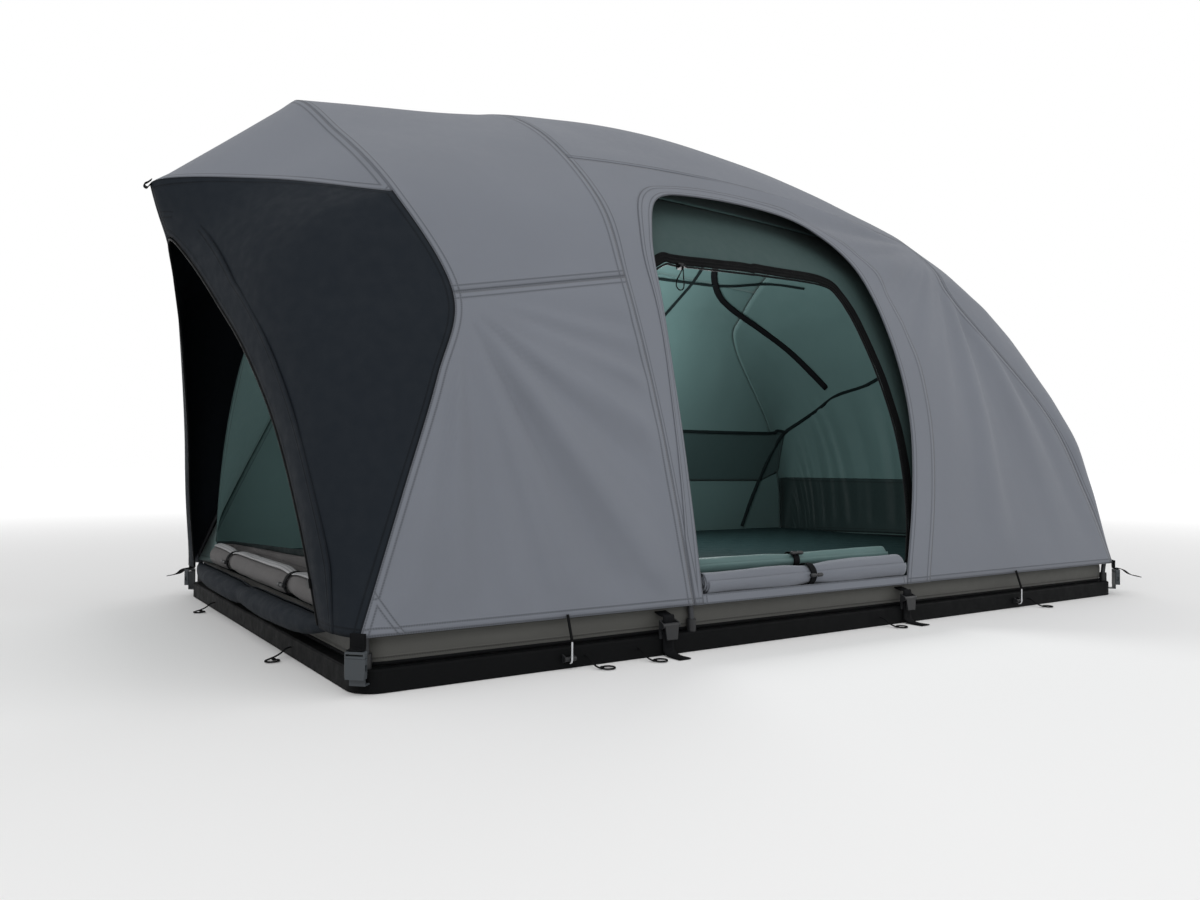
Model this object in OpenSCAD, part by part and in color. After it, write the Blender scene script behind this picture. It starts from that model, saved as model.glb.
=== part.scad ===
// Roof top tent: a pole-framed fly over an inner tent, on a padded base.
// Rear door and beak at -X, nose at +X, the open side door at -Y. Millimetres, base underside at z = 0.

/* [Base] */
// Length of the base panel
base_l = 2100; // [1950:10:2400]
// Width of the base panel
base_w = 1270; // [1150:10:1500]
// Thickness of the base panel
base_h = 35; // [28:1:45]
// Corner radius of the base panel in plan
base_corner_r = 45; // [40:1:60]
// Ledge from the base edge in to the tub wall
ledge_w = 24; // [23:1:36]
// Thickness of the tub wall
tub_t = 3; // [2:0.5:6]

/* [Mattress] */
// Height of the mattress at its edge
mattress_h = 78; // [50:1:100]
// Extra height of the mattress at its middle
mattress_crown = 12; // [4:1:25]
// Gap between the mattress and the tub wall
mattress_gap = 18; // [12:1:40]

/* [Fly] */
// Thickness of the cloth
cloth_t = 1.6; // [1:0.1:2.5]
// Height of the fly hem
hem_z = 83; // [76:1:95]
// Height of the ridge over the rear hoop
rear_ridge_z = 1090; // [1000:5:1200]
// Height of the ridge over the middle hoop
mid_ridge_z = 1150; // [1060:5:1260]
// Height of the ridge over the nose hoop
nose_ridge_z = 1080; // [1000:5:1180]
// Reach of the beak past the rear edge of the base
beak_reach = 194; // [120:2:260]
// Height of the beak tip
beak_z = 876; // [820:2:920]
// Height of the rear door arch
arch_z = 776; // [720:2:800]
// Width of the rear door arch at its feet
arch_w = 1010; // [940:5:1040]
// Foot of the middle hoop along the length
mid_hoop_x = -415; // [-470:5:-405]
// Rear jamb of the side door
door_rear_x = -392; // [-395:1:-330]
// Front jamb of the side door at its widest
door_front_x = 300; // [200:5:380]

/* [Poles] */
// Diameter of the poles
pole_d = 11; // [8:0.5:12]
// Depth of the hoop poles under the fly
pole_depth = 12; // [11.5:0.5:16]
// Outer diameter of a pole foot socket
socket_d = 18; // [17:0.5:22]
// Height of a pole foot socket
socket_h = 22; // [15:1:30]

/* [Rolled doors] */
// Radius of the rolled fly side door
side_fly_roll_r = 28; // [20:1:34]
// Radius of the rolled inner side door
side_inner_roll_r = 20; // [14:1:26]
// Radius of the rolled fly rear door
rear_fly_roll_r = 21; // [15:1:24]
// Radius of the rolled inner rear door
rear_inner_roll_r = 27; // [20:1:32]
// Length of a toggle bar
toggle_l = 34; // [24:1:44]
// Diameter of a toggle bar
toggle_d = 8; // [6:0.5:10]

/* [Zips] */
// Diameter of the zip coil
zip_d = 5; // [4:0.5:7]
// Length of a zip slider
slider_l = 15; // [10:1:22]
// Length of the zip pull
pull_l = 42; // [25:1:60]

/* [Straps and buckles] */
// Width of the webbing
webbing_w = 25; // [20:1:30]
// Thickness of the webbing
webbing_t = 2; // [1.5:0.25:2.5]
// Height of a corner buckle socket
buckle_h = 30; // [26:1:36]
// Width of a corner buckle
buckle_w = 32; // [30:1:40]
// Thickness of a corner buckle
buckle_t = 12; // [11:0.5:15]
// Length of a cam lever
lever_l = 24; // [18:1:28]
// Diameter of the hem elastics
elastic_d = 5; // [3:0.5:6]
// Wire diameter of the hem hooks
hook_d = 4; // [3:0.5:5]
// Diameter of the thin tie cords
tie_cord_d = 3; // [2:0.5:3.5]

/* [Hidden] */
// Gap between sewn panels, and between pieces that seat on each other
seam_gap = 0.5;
seat_gap = 0.4;
half_l = base_l / 2;
half_w = base_w / 2;
hem_y = half_w - 3;
// Depth of the inner tent under the fly at the hem and from the shoulder up
inner_hem_depth = ledge_w + 0.5;
inner_depth = 45;
// Every wall has its thickness towards a core line along the middle of the tent
core_share = 0.75;
core_z = 350;

// Hoops, from the near hem to the ridge: each station is [x, y, z]
rear_half = [
    [-(half_l - 5), -hem_y, hem_z],
    [-(half_l - 85), -(hem_y - 40), hem_z + 207],
    [-(half_l - 160), -(hem_y - 82), hem_z + 397],
    [-(half_l - 210), -(hem_y - 132), hem_z + 550],
    [-(half_l - 130), -(hem_y - 205), hem_z + 728],
    [-(half_l - 95), -225, rear_ridge_z - 122],
    [-(half_l - 70), 0, rear_ridge_z]
];
mid_half = [
    [mid_hoop_x, -hem_y, hem_z],
    [mid_hoop_x - 17, -(hem_y - 34), hem_z + 197],
    [mid_hoop_x - 37, -(hem_y - 76), hem_z + 400],
    [mid_hoop_x - 65, -(hem_y - 132), hem_z + 620],
    [mid_hoop_x - 80, -(hem_y - 208), hem_z + 790],
    [mid_hoop_x - 108, -225, mid_ridge_z - 88],
    [mid_hoop_x - 125, 0, mid_ridge_z]
];
nose_half = [
    [half_l - 5, -hem_y, hem_z],
    [half_l - 62, -(hem_y - 44), hem_z + 190],
    [half_l - 170, -(hem_y - 94), hem_z + 410],
    [half_l - 420, -(hem_y - 192), hem_z + 690],
    [half_l - 442, -(hem_y - 252), hem_z + 795],
    [half_l - 446, -220, nose_ridge_z - 72],
    [half_l - 450, 0, nose_ridge_z]
];
nose_swell_half = [
    [half_l + 8, -(hem_y - 8), hem_z],
    [half_l + 22, -(hem_y - 36), hem_z + 205],
    [half_l + 38, -(hem_y - 68), hem_z + 368],
    [half_l + 80, -(hem_y - 130), hem_z + 560],
    [half_l + 100, -(hem_y - 210), hem_z + 605],
    [half_l + 115, -220, nose_ridge_z - 382],
    [half_l + 120, 0, nose_ridge_z - 382]
];
nose_hem_half = [
    [half_l + 9, -(hem_y - 40), hem_z],
    [half_l + 10, -(hem_y - 80), hem_z],
    [half_l + 10, -(hem_y - 130), hem_z],
    [half_l + 10, -(hem_y - 200), hem_z],
    [half_l + 10, -(hem_y - 320), hem_z],
    [half_l + 10, -160, hem_z],
    [half_l + 10, 0, hem_z]
];
arch_foot_y = arch_w / 2;
arch_half = [
    [-(half_l + 15), -arch_foot_y, hem_z],
    [-(half_l + 34), -(arch_foot_y - 38), hem_z + 155],
    [-(half_l + 54), -(arch_foot_y - 118), hem_z + 317],
    [-(half_l + 80), -(arch_foot_y - 213), arch_z - 246],
    [-(half_l + 106), -(arch_foot_y - 313), arch_z - 150],
    [-(half_l + 136), -92, arch_z - 58],
    [-(half_l + 160), 0, arch_z]
];
rear_swell_half = [
    [-(half_l + 24), -(hem_y - 34), hem_z],
    [-(half_l + 52), -(hem_y - 40), hem_z + 182],
    [-(half_l + 66), -(hem_y - 56), hem_z + 357],
    [-(half_l + 76), -(hem_y - 94), hem_z + 507],
    [-(half_l + 96), -(hem_y - 226), hem_z + 637],
    [-(half_l + 118), -175, beak_z - 84],
    [-(half_l + 182), 0, beak_z - 52]
];
brow_half = [
    rear_half[4],
    [-(half_l + beak_reach - 157), -208, beak_z - 16],
    [-(half_l + beak_reach), 0, beak_z]
];

function mix(a, b, f) = a + (b - a) * f;
function bend(a, b, c, f) = mix(mix(a, b, f), mix(b, c, f), f);
function unit(v) = v / norm(v);
function flip(p) = [p[0], -p[1], p[2]];
function whole(half) = concat(half, [for (i = [len(half) - 2:-1:0]) flip(half[i])]);
// Sewn edges share their stations, a step apart, so that neighbours meet along the same line
t_step = 0.375;
function t_grid(low, high) = steps(low, high, round((high - low) / t_step));
function square_to(v, dir) = unit(v - (v * dir) * dir);
function steps(low, high, count) = [for (i = [0:count]) mix(low, high, i / count)];

// Smooth curve through every point, one point for each whole t
function along(pts, t) =
    let (last = len(pts) - 1, i = max(0, min(floor(t), last - 1)), f = t - i, b = pts[i], c = pts[i + 1],
         a = i > 0 ? pts[i - 1] : 2 * b - c, d = i + 2 <= last ? pts[i + 2] : 2 * c - b)
    (2 * b + (c - a) * f + (2 * a - 5 * b + 4 * c - d) * f * f + (3 * b - a - 3 * c + d) * f * f * f) / 2;

rear_hoop = whole(rear_half);
mid_hoop = whole(mid_half);
nose_hoop = whole(nose_half);
nose_swell = whole(nose_swell_half);
nose_hem = whole(nose_hem_half);
arch = whole(arch_half);
rear_swell = whole(rear_swell_half);
brow = whole(brow_half);
ridge_t = 6;
far_t = 2 * ridge_t;
brow_t = 4;

// Fly surfaces: s runs towards +X (or out from an opening), t from the near hem over the ridge
roof_swell = 26;
function upper(t) = max(0, 1 - abs(t - ridge_t) / 3);
function rear_bay(s, t) = mix(along(rear_hoop, t), along(mid_hoop, t), s);
function front_bay(s, t) =
    mix(along(mid_hoop, t), along(nose_hoop, t), s) + [0, 0, 4 * s * (1 - s) * roof_swell * upper(t)];
function nose_skin(s, t) = bend(along(nose_hoop, t), along(nose_swell, t), along(nose_hem, t), s);
function rear_edge(t) =
    abs(t - ridge_t) >= ridge_t - brow_t ? along(rear_hoop, t) : along(brow, t - brow_t);
function rear_skin(s, t) = bend(along(arch, t), along(rear_swell, t), rear_edge(t), s);
function brow_skin(s, t) = mix(rear_edge(t), along(rear_hoop, t), s);
function front_bay_at(x, t) =
    let (a = along(mid_hoop, t)[0], b = along(nose_hoop, t)[0]) front_bay((x - a) / (b - a), t);

function inward(p) = unit([core_share * p[0], 0, core_z] - p);
function sink(p, depth) = p + inward(p) * depth;
function inner_sink(t) = mix(inner_hem_depth, inner_depth, min(1, min(t, far_t - t) / 3));

// Closed cloth solid from a grid whose rows cross columns with the outside face on the right hand
module cloth(grid) {
    rows = len(grid);
    cols = len(grid[0]);
    face = [for (row = grid) for (p = row) p];
    count = rows * cols;
    function at(i, j) = i * cols + j;
    outside = [for (i = [0:rows - 2]) for (j = [0:cols - 2])
        each [[at(i, j), at(i, j + 1), at(i + 1, j + 1)], [at(i, j), at(i + 1, j + 1), at(i + 1, j)]]];
    inside = [for (f = outside) [f[2] + count, f[1] + count, f[0] + count]];
    rim = concat(
        [for (i = [0:rows - 2]) [at(i, 0), at(i + 1, 0)]],
        [for (j = [0:cols - 2]) [at(rows - 1, j), at(rows - 1, j + 1)]],
        [for (i = [rows - 1:-1:1]) [at(i, cols - 1), at(i - 1, cols - 1)]],
        [for (j = [cols - 1:-1:1]) [at(0, j), at(0, j - 1)]]);
    edge = [for (e = rim) each [[e[0], e[1], e[1] + count], [e[0], e[1] + count, e[0] + count]]];
    polyhedron(concat(face, [for (p = face) sink(p, cloth_t)]), concat(outside, inside, edge));
}

// Round solid swept along a path, with one radius for each point
module swept(path, radii, sides, across) {
    last = len(path) - 1;
    rings = [for (i = [0:last])
        let (dir = unit(path[min(i + 1, last)] - path[max(i - 1, 0)]), u = unit(cross(across, dir)),
             v = cross(dir, u))
        each [for (k = [0:sides - 1])
            let (angle = 360 * k / sides) path[i] + radii[i] * (u * cos(angle) + v * sin(angle))]];
    walls = [for (i = [0:last - 1]) for (k = [0:sides - 1])
        let (a = i * sides + k, b = i * sides + (k + 1) % sides)
        each [[a, a + sides, b + sides], [a, b + sides, b]]];
    low_cap = [for (k = [1:sides - 2]) [0, k, k + 1]];
    high_cap = [for (k = [1:sides - 2]) [last * sides, last * sides + k + 1, last * sides + k]];
    polyhedron(rings, concat(walls, low_cap, high_cap));
}
function same(value, path) = [for (p = path) value];

module rounded_plate(l, w, r) {
    square([l - 2 * r, w], center = true);
    square([l, w - 2 * r], center = true);
    for (x = [-1, 1], y = [-1, 1]) translate([x * (l / 2 - r), y * (w / 2 - r)]) circle(r, $fn = 48);
}

// Places children so that their +X, +Y and +Z lie along the three given directions
module placed(at, x, y, z) {
    multmatrix([for (i = [0:2]) [x[i], y[i], z[i], at[i]]]) children();
}

// Base, tub and mattress
tub_l = base_l - 2 * ledge_w;
tub_w = base_w - 2 * ledge_w;
tub_r = base_corner_r - ledge_w;
inner_foot = sink(along(mid_hoop, 0), inner_hem_depth);
tub_top = inner_foot[2] - seat_gap;

// The panel's top edge is broken by a bevel, so the fly hem can't chafe on it
base_bevel = 2.5;
module base_panel() {
    flat_l = base_l - 2 * base_bevel;
    flat_w = base_w - 2 * base_bevel;
    color([0.07, 0.07, 0.08]) hull() {
        linear_extrude(base_h - base_bevel) rounded_plate(base_l, base_w, base_corner_r);
        linear_extrude(base_h) rounded_plate(flat_l, flat_w, base_corner_r - base_bevel);
    }
}

module tub_wall() {
    color([0.26, 0.27, 0.27]) translate([0, 0, base_h]) linear_extrude(tub_top - base_h) difference() {
        rounded_plate(tub_l, tub_w, tub_r);
        rounded_plate(tub_l - 2 * tub_t, tub_w - 2 * tub_t, tub_r - tub_t);
    }
}

// Ring of a rounded rectangle, a quarter at a time, at one height
function plan_ring(l, w, r, z) = [for (q = [0:3]) for (k = [0:4])
    let (angle = 90 * q + 22.5 * k, sx = q == 0 || q == 3 ? 1 : -1, sy = q < 2 ? 1 : -1)
    [sx * (l / 2 - r) + r * cos(angle), sy * (w / 2 - r) + r * sin(angle), z]];
mattress_l = tub_l - 2 * tub_t - 2 * mattress_gap;
mattress_w = tub_w - 2 * tub_t - 2 * mattress_gap;
mattress_r = 60;
mattress_drawn = 6;
mattress_z = base_h + seat_gap;

module mattress() {
    // Each ring is [inset from the full plan, share of the edge height, share of the crown]
    profile = [[14, 0, 0], [3, 0.12, 0], [0, 0.3, 0], [mattress_drawn, 0.5, 0], [0, 0.7, 0], [4, 0.88, 0],
               [18, 1, 0.1], [90, 1, 0.45], [220, 1, 0.8], [400, 1, 0.97]];
    rings = [for (p = profile)
        plan_ring(mattress_l - 2 * p[0], mattress_w - 2 * p[0], max(mattress_r - p[0], 20),
            mattress_z + p[1] * mattress_h + p[2] * mattress_crown)];
    n = len(rings[0]);
    last = len(rings) - 1;
    walls = [for (i = [0:last - 1]) for (k = [0:n - 1])
        let (a = i * n + k, b = i * n + (k + 1) % n) each [[a, a + n, b + n], [a, b + n, b]]];
    middle = [0, 0, mattress_z + mattress_h + mattress_crown];
    floor_middle = [0, 0, mattress_z];
    points = concat([for (r = rings) each r], [middle, floor_middle]);
    top = [for (k = [0:n - 1]) [last * n + k, len(points) - 2, last * n + (k + 1) % n]];
    under = [for (k = [0:n - 1]) [(k + 1) % n, len(points) - 1, k]];
    color([0.22, 0.36, 0.37]) polyhedron(points, concat(walls, top, under));
}

// Poles, their feet and hubs
foot_in = ledge_w / 2;
foot_clear = 0.3;
corner_foot = (base_corner_r - foot_in) / sqrt(2);
rear_foot = [-(half_l - base_corner_r + corner_foot), -(half_w - base_corner_r + corner_foot), base_h];
mid_foot = [mid_hoop_x, -(half_w - foot_in), base_h];
nose_foot = [half_l - base_corner_r + corner_foot, rear_foot[1], base_h];
pole_grey = [0.6, 0.61, 0.63];
pole_start_t = 0.06;
hub_t = 0.08;

// The poles sink a little deeper towards the ridge, to leave room for the hubs
function pole_sink(t) = mix(pole_depth, hub_depth, upper(t));
function hoop_path(hoop, foot) =
    let (low = foot + [0, 0, 3], high = foot + [0, 0, socket_h + 2],
         rise = t_grid(t_step, ridge_t - t_step),
         ts = concat([pole_start_t], rise, [ridge_t - hub_t, ridge_t + hub_t],
             t_grid(ridge_t + t_step, far_t - t_step), [far_t - pole_start_t]))
    concat([low, high], [for (t = ts) sink(along(hoop, t), pole_sink(t))], [flip(high), flip(low)]);
module hoop_pole(hoop, foot) {
    path = hoop_path(hoop, foot);
    color(pole_grey) swept(path, same(pole_d / 2, path), 8, [1, 0, 0]);
}
module rear_hoop_pole() hoop_pole(rear_hoop, rear_foot);
module middle_hoop_pole() hoop_pole(mid_hoop, mid_foot);
module nose_hoop_pole() hoop_pole(nose_hoop, nose_foot);

hub_l = 22;
hub_depth = pole_depth + 4;
ridge_depth = hub_depth + pole_d + 2;
beak_end_depth = 58;
function ridge_at(hoop) = sink(along(hoop, ridge_t), ridge_depth);
beak_end = sink(brow[2], beak_end_depth);
rear_apex = ridge_at(rear_hoop);
mid_apex = ridge_at(mid_hoop);
nose_apex = ridge_at(nose_hoop);
rear_run = [for (s = steps(0.2, 0.85, 3)) sink(rear_bay(s, ridge_t), ridge_depth)];
front_run = [for (s = steps(0.12, 0.88, 6)) sink(front_bay(s, ridge_t), ridge_depth)];
rear_pass = unit(unit(rear_run[0] - rear_apex) + unit(rear_apex - beak_end));
mid_pass = unit(front_run[0] - rear_run[3]);
nose_pass = unit(nose_apex - front_run[6]);
// The ridge pole runs straight through each hub
function through(apex, dir) = [apex - dir * hub_l * 0.7, apex + dir * hub_l * 0.7];
ridge_path = concat([beak_end], through(rear_apex, rear_pass), rear_run, through(mid_apex, mid_pass),
    front_run, [nose_apex, nose_apex + nose_pass * hub_l * 0.4]);
module ridge_pole() {
    color(pole_grey) swept(ridge_path, same(pole_d / 2, ridge_path), 8, [0, 1, 0]);
}

module pole_sockets() {
    color([0.1, 0.1, 0.11]) for (f = [rear_foot, mid_foot, nose_foot], y = [-1, 1])
        translate([f[0], -y * f[1], base_h]) difference() {
            cylinder(h = socket_h, d = socket_d, $fn = 48);
            translate([0, 0, 2]) cylinder(h = socket_h, d = pole_d + 2 * foot_clear, $fn = 48);
        }
}

hub_clear = 1.3;
ridge_clear = 0.8;
hub_wall = 1.7;
button_d = 6;
button_depth = cloth_t + 1.5;
// Each hub holds a hoop in one bore, the ridge pole in the bore below, and bears on the fly at its button
module pole_hub(apex, ridge_dir) {
    up = -inward(apex);
    across = [0, 1, 0];
    bore = pole_d + 2 * hub_clear;
    top = hub_depth - bore / 2 - hub_wall;
    bottom = ridge_depth + bore / 2 + hub_wall;
    ahead = square_to(ridge_dir, across);
    placed(apex, cross(across, up), across, up) {
        difference() {
            translate([0, 0, -bottom]) cylinder(h = bottom - top, d = hub_l, $fn = 48);
            translate([0, 0, -hub_depth]) rotate([90, 0, 0])
                cylinder(h = 2 * hub_l, d = bore, center = true, $fn = 48);
            translate([0, 0, -ridge_depth]) rotate([0, 90 - asin(ahead * up), 0])
                cylinder(h = 2 * hub_l, d = pole_d + 2 * ridge_clear, center = true, $fn = 48);
        }
        translate([0, 0, -top]) cylinder(h = top - button_depth, d = button_d, $fn = 48);
    }
}
module pole_hubs() {
    color([0.1, 0.1, 0.11]) {
        pole_hub(along(rear_hoop, ridge_t), rear_pass);
        pole_hub(along(mid_hoop, ridge_t), mid_pass);
        pole_hub(along(nose_hoop, ridge_t), nose_pass);
    }
}

// Fly panels
rear_span = 440;
front_span = 1140;
brow_span = 340;
t_span = 180;
rear_s_edge = seam_gap / 2 / rear_span;
s_edge = seam_gap / 2 / front_span;
brow_s_edge = seam_gap / 2 / brow_span;
nose_s_edge = 0.0004;
panel_s_edge = 0.0012;
t_edge = seam_gap / 2 / t_span;
shoulder_t = 3;
roof_t = 4.5;
fly_grey = [0.46, 0.47, 0.5];
fly_black = [0.13, 0.14, 0.16];
inner_teal = [0.2, 0.32, 0.32];

module panel(shape, s_range, t_range, s_count) {
    cloth([for (s = steps(s_range[0], s_range[1], s_count))
        [for (t = t_grid(t_range[0], t_range[1])) shape(s, t)]]);
}
full_s = [s_edge, 1 - s_edge];
rear_s = [rear_s_edge, 1 - rear_s_edge];
module rear_wall() {
    panel(function(s, t) rear_bay(s, t), rear_s, [0, shoulder_t - t_edge], 4);
}
module fly_rear_wall_near() color(fly_grey) rear_wall();
module fly_rear_wall_far() color(fly_grey) mirror([0, 1, 0]) rear_wall();
module fly_roof_rear() {
    t_range = [shoulder_t + t_edge, far_t - shoulder_t - t_edge];
    color(fly_grey) panel(function(s, t) rear_bay(s, t), rear_s, t_range, 4);
}
module fly_roof_front() {
    t_range = [roof_t + t_edge, far_t - roof_t - t_edge];
    color(fly_grey) panel(function(s, t) front_bay(s, t), full_s, t_range, 8);
}
module fly_nose_panel() {
    t_range = [2 * t_edge, far_t - 2 * t_edge];
    color(fly_grey) panel(function(s, t) nose_skin(s, t), [nose_s_edge, 1], t_range, 7);
}
brow_start_t = brow_t + t_step / 3;
module fly_brow() {
    t_range = [brow_start_t, far_t - brow_start_t];
    color(fly_grey) panel(function(s, t) brow_skin(s, t), [brow_s_edge, 1 - brow_s_edge], t_range, 4);
}
module rear_side() {
    panel(function(s, t) rear_skin(s, t), [0, 1 - panel_s_edge], [2 * t_edge, ridge_t - t_edge], 7);
}
module fly_rear_panel_near() color(fly_black) rear_side();
module fly_rear_panel_far() color(fly_black) mirror([0, 1, 0]) rear_side();

tip_cap_l = 14;
tip_cap_d = 10;
module beak_tip_tab() {
    dir = unit(brow[2] - rear_hoop[6]);
    across = [0, 1, 0];
    at = brow[2] + dir * (2 * seat_gap + tip_cap_d / 2);
    color([0.05, 0.05, 0.06]) placed(at, cross(across, dir), across, dir)
        rotate([90, 0, 0]) cylinder(h = tip_cap_l, d = tip_cap_d, center = true, $fn = 32);
}

// Side door: outlines on the front bay as [x, t], from the rear foot over the top to the front foot
door_sweep = door_front_x - door_rear_x;
fly_door = [
    [door_rear_x, 0], [door_rear_x - 4, 1.4], [door_rear_x - 6, 2.7], [door_rear_x + 4, 3.55],
    [door_rear_x + 60, 4.08], [door_rear_x + 200, 4.2], [door_front_x - 240, 4.17],
    [door_front_x - 130, 3.92], [door_front_x - 55, 3.4], [door_front_x - 10, 2.75], [door_front_x, 2.1],
    [door_front_x - 32, 1.2], [door_front_x - 115, 0]
];
inner_door_t = 3.45;
inner_door = [
    [door_rear_x - 14, 0.05], [door_rear_x - 14, 1.4], [door_rear_x - 12, 2.6], [door_rear_x, 3.2],
    [door_rear_x + 50, inner_door_t], [door_rear_x + 90, inner_door_t], [door_rear_x + 230, inner_door_t],
    [door_rear_x + 310, inner_door_t], [door_rear_x + 350, inner_door_t], [door_front_x - 145, 3.4],
    [door_front_x - 85, 3.16], [door_front_x - 42, 2.65], [door_front_x - 16, 2.1],
    [door_front_x - 12, 1.4], [door_front_x - 35, 0.7], [door_front_x - 80, 0.05]
];
ring_rear_share = 0.36;
ring_top_share = 0.66;
// Outer boundary of a side panel as [s, t] at share w of the way round
function border(w, top) =
    w < ring_rear_share ? [s_edge, mix(0, top, w / ring_rear_share)]
    : w < ring_top_share
        ? [mix(s_edge, 1 - s_edge, (w - ring_rear_share) / (ring_top_share - ring_rear_share)), top]
    : [1 - s_edge, mix(top, 0, (w - ring_top_share) / (1 - ring_top_share))];
function bay_share(q) =
    let (a = along(mid_hoop, q[1])[0], b = along(nose_hoop, q[1])[0]) [(q[0] - a) / (b - a), q[1]];
function ring_point(outline, w, r, top) =
    let (inside = bay_share(along(outline, w * (len(outline) - 1))), q = mix(border(w, top), inside, r))
    [q[0], max(0, q[1])];
function beyond(shares) = [for (i = [1:len(shares) - 1]) shares[i]];
border_steps = roof_t / t_step;
ring_shares = concat(steps(0, ring_rear_share, border_steps),
    beyond(steps(ring_rear_share, ring_top_share, 10)), beyond(steps(ring_top_share, 1, border_steps)));

module side_ring(outline, top, rows, depth) {
    cloth([for (r = steps(0, 1, rows)) [for (w = ring_shares)
        let (q = ring_point(outline, w, r, top)) sink(front_bay(q[0], q[1]), depth(q[1]))]]);
}
no_depth = function(t) 0;
inner_at = function(t) inner_sink(t);
fly_ring_top = roof_t - t_edge;
module fly_side_panel_near() color(fly_grey) side_ring(fly_door, fly_ring_top, 5, no_depth);
module fly_side_panel_far() {
    color(fly_grey) mirror([0, 1, 0]) side_ring(fly_door, fly_ring_top, 5, no_depth);
}
// The closed far door fills its ring: rows run from the rear half of the outline across to the front half
door_inset = 1.8;
door_middle = [door_rear_x + door_sweep * 0.42, 0];
module fly_side_door_far() {
    half = (len(fly_door) - 1) / 2;
    function shrunk(q) = [q[0] + door_inset * sign(door_middle[0] - q[0]), max(0, q[1] - 3 * t_edge)];
    color(fly_grey) mirror([0, 1, 0]) cloth([for (k = steps(0, 1, 8)) [for (v = steps(0, 0.96, 10))
        let (a = shrunk(along(fly_door, half * v)), b = shrunk(along(fly_door, 2 * half - half * v)),
             q = mix(a, b, k))
        front_bay_at(q[0], q[1])]]);
}

// Inner tent panels hang under the fly panels
inner_roof_t = roof_t;
inner_edge_t = 0.002;
module inner_side_near() color(inner_teal) side_ring(inner_door, inner_roof_t - t_edge, 4, inner_at);
module inner_panel(shape, s_range, t_range, s_count) {
    color(inner_teal) cloth([for (s = steps(s_range[0], s_range[1], s_count))
        [for (t = t_grid(t_range[0], t_range[1])) sink(shape(s, t), inner_sink(t))]]);
}
module inner_side_far() {
    t_range = [far_t - inner_roof_t + t_edge, far_t - inner_edge_t];
    inner_panel(function(s, t) front_bay(s, t), full_s, t_range, 6);
}
module inner_roof() {
    t_range = [inner_roof_t + t_edge, far_t - inner_roof_t - t_edge];
    inner_panel(function(s, t) front_bay(s, t), full_s, t_range, 6);
}
module inner_rear_bay() {
    inner_panel(function(s, t) rear_bay(s, t), rear_s, [inner_edge_t, far_t - inner_edge_t], 3);
}
module inner_nose_wall() {
    inner_panel(function(s, t) nose_skin(s, t), [nose_s_edge, 1], [2 * t_edge, far_t - 2 * t_edge], 5);
}
// Inner rear wall spans the rear hoop and bows out towards the door
rear_bow_x = -(half_l - 22);
rear_bow = 30;
inner_arch_foot_y = 440;
arch_drop = 78;
inner_arch_rise = arch_z - arch_drop - hem_z;
// Each station is [back from the bow, share of the foot's half width, share of the rise]
inner_arch_shape = [[0, 1, 0.02], [0, 0.955, 0.268], [4, 0.84, 0.52], [10, 0.66, 0.732], [16, 0.43, 0.886],
                    [20, 0.216, 0.976], [22, 0, 1]];
inner_arch_half = [for (p = inner_arch_shape)
    [rear_bow_x + p[0], -p[1] * inner_arch_foot_y, hem_z + p[2] * inner_arch_rise]];
inner_arch = whole(inner_arch_half);
module inner_rear_wall() {
    color(inner_teal) cloth([for (s = steps(0, 1 - panel_s_edge, 4))
        [for (t = t_grid(inner_edge_t, far_t - inner_edge_t))
            let (outer = sink(along(rear_hoop, t), inner_sink(t)), inner = along(inner_arch, t),
                 lift = [-rear_bow * upper(t), 0, 0])
            bend(inner, mix(inner, outer, 0.5) + lift, outer, s)]]);
}

// Rolled doors, drawn in at their ties
roll_sides = 12;
tie_draw = 0.8;
tie_w = 16;
tie_flat = tie_w / 2 + 2;
tie_spread = 24;
// A roll is drawn in flat under each tie and swells again over the spread on either side
function draw_in(d, ties) =
    min([for (tie = ties) 1 - (1 - tie_draw) * exp(-pow(max(0, abs(d - tie) - tie_flat) / tie_spread, 2))]);
module rolled(from, to, r, ties, across) {
    l = norm(to - from);
    at_ties = [for (tie = ties) tie * l];
    shares = concat([0, 0.01],
        [for (tie = ties) for (d = [-40, -24, -tie_flat, tie_flat, 24, 40]) tie + d / l], [0.99, 1]);
    path = [for (u = shares) mix(from, to, u)];
    radii = [for (u = shares) r * draw_in(u * l, at_ties) * (u == 0 || u == 1 ? 0.8 : 1)];
    swept(path, radii, roll_sides, across);
}
roll_end_gap = 12;
side_roll_y = -(half_w - ledge_w - tub_t / 2) - 1;
side_fly_from = [door_rear_x + roll_end_gap, side_roll_y, tub_top + seat_gap + side_fly_roll_r];
side_fly_to = [door_front_x - 115 - roll_end_gap, side_fly_from[1], side_fly_from[2]];
side_inner_lean = 60;
side_inner_from = side_fly_from
    + (side_fly_roll_r + side_inner_roll_r + seat_gap) * [0, sin(side_inner_lean), cos(side_inner_lean)];
side_inner_to = [side_fly_to[0], side_inner_from[1], side_inner_from[2]];
rear_fly_x = -(half_l - ledge_w + rear_fly_roll_r + seat_gap);
rear_fly_from = [rear_fly_x, -arch_foot_y + 60, base_h + seat_gap + rear_fly_roll_r];
rear_inner_x = -(half_l - ledge_w - tub_t / 2);
rear_inner_from =
    [rear_inner_x, -inner_arch_foot_y + roll_end_gap + 8, tub_top + seat_gap + rear_inner_roll_r];
side_ties = [0.5];
rear_ties = [0.22, 0.78];
module side_fly_door_roll() {
    color(fly_grey) rolled(side_fly_from, side_fly_to, side_fly_roll_r, side_ties, [0, 0, 1]);
}
module side_inner_door_roll() {
    color(inner_teal) rolled(side_inner_from, side_inner_to, side_inner_roll_r, side_ties, [0, 0, 1]);
}
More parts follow.
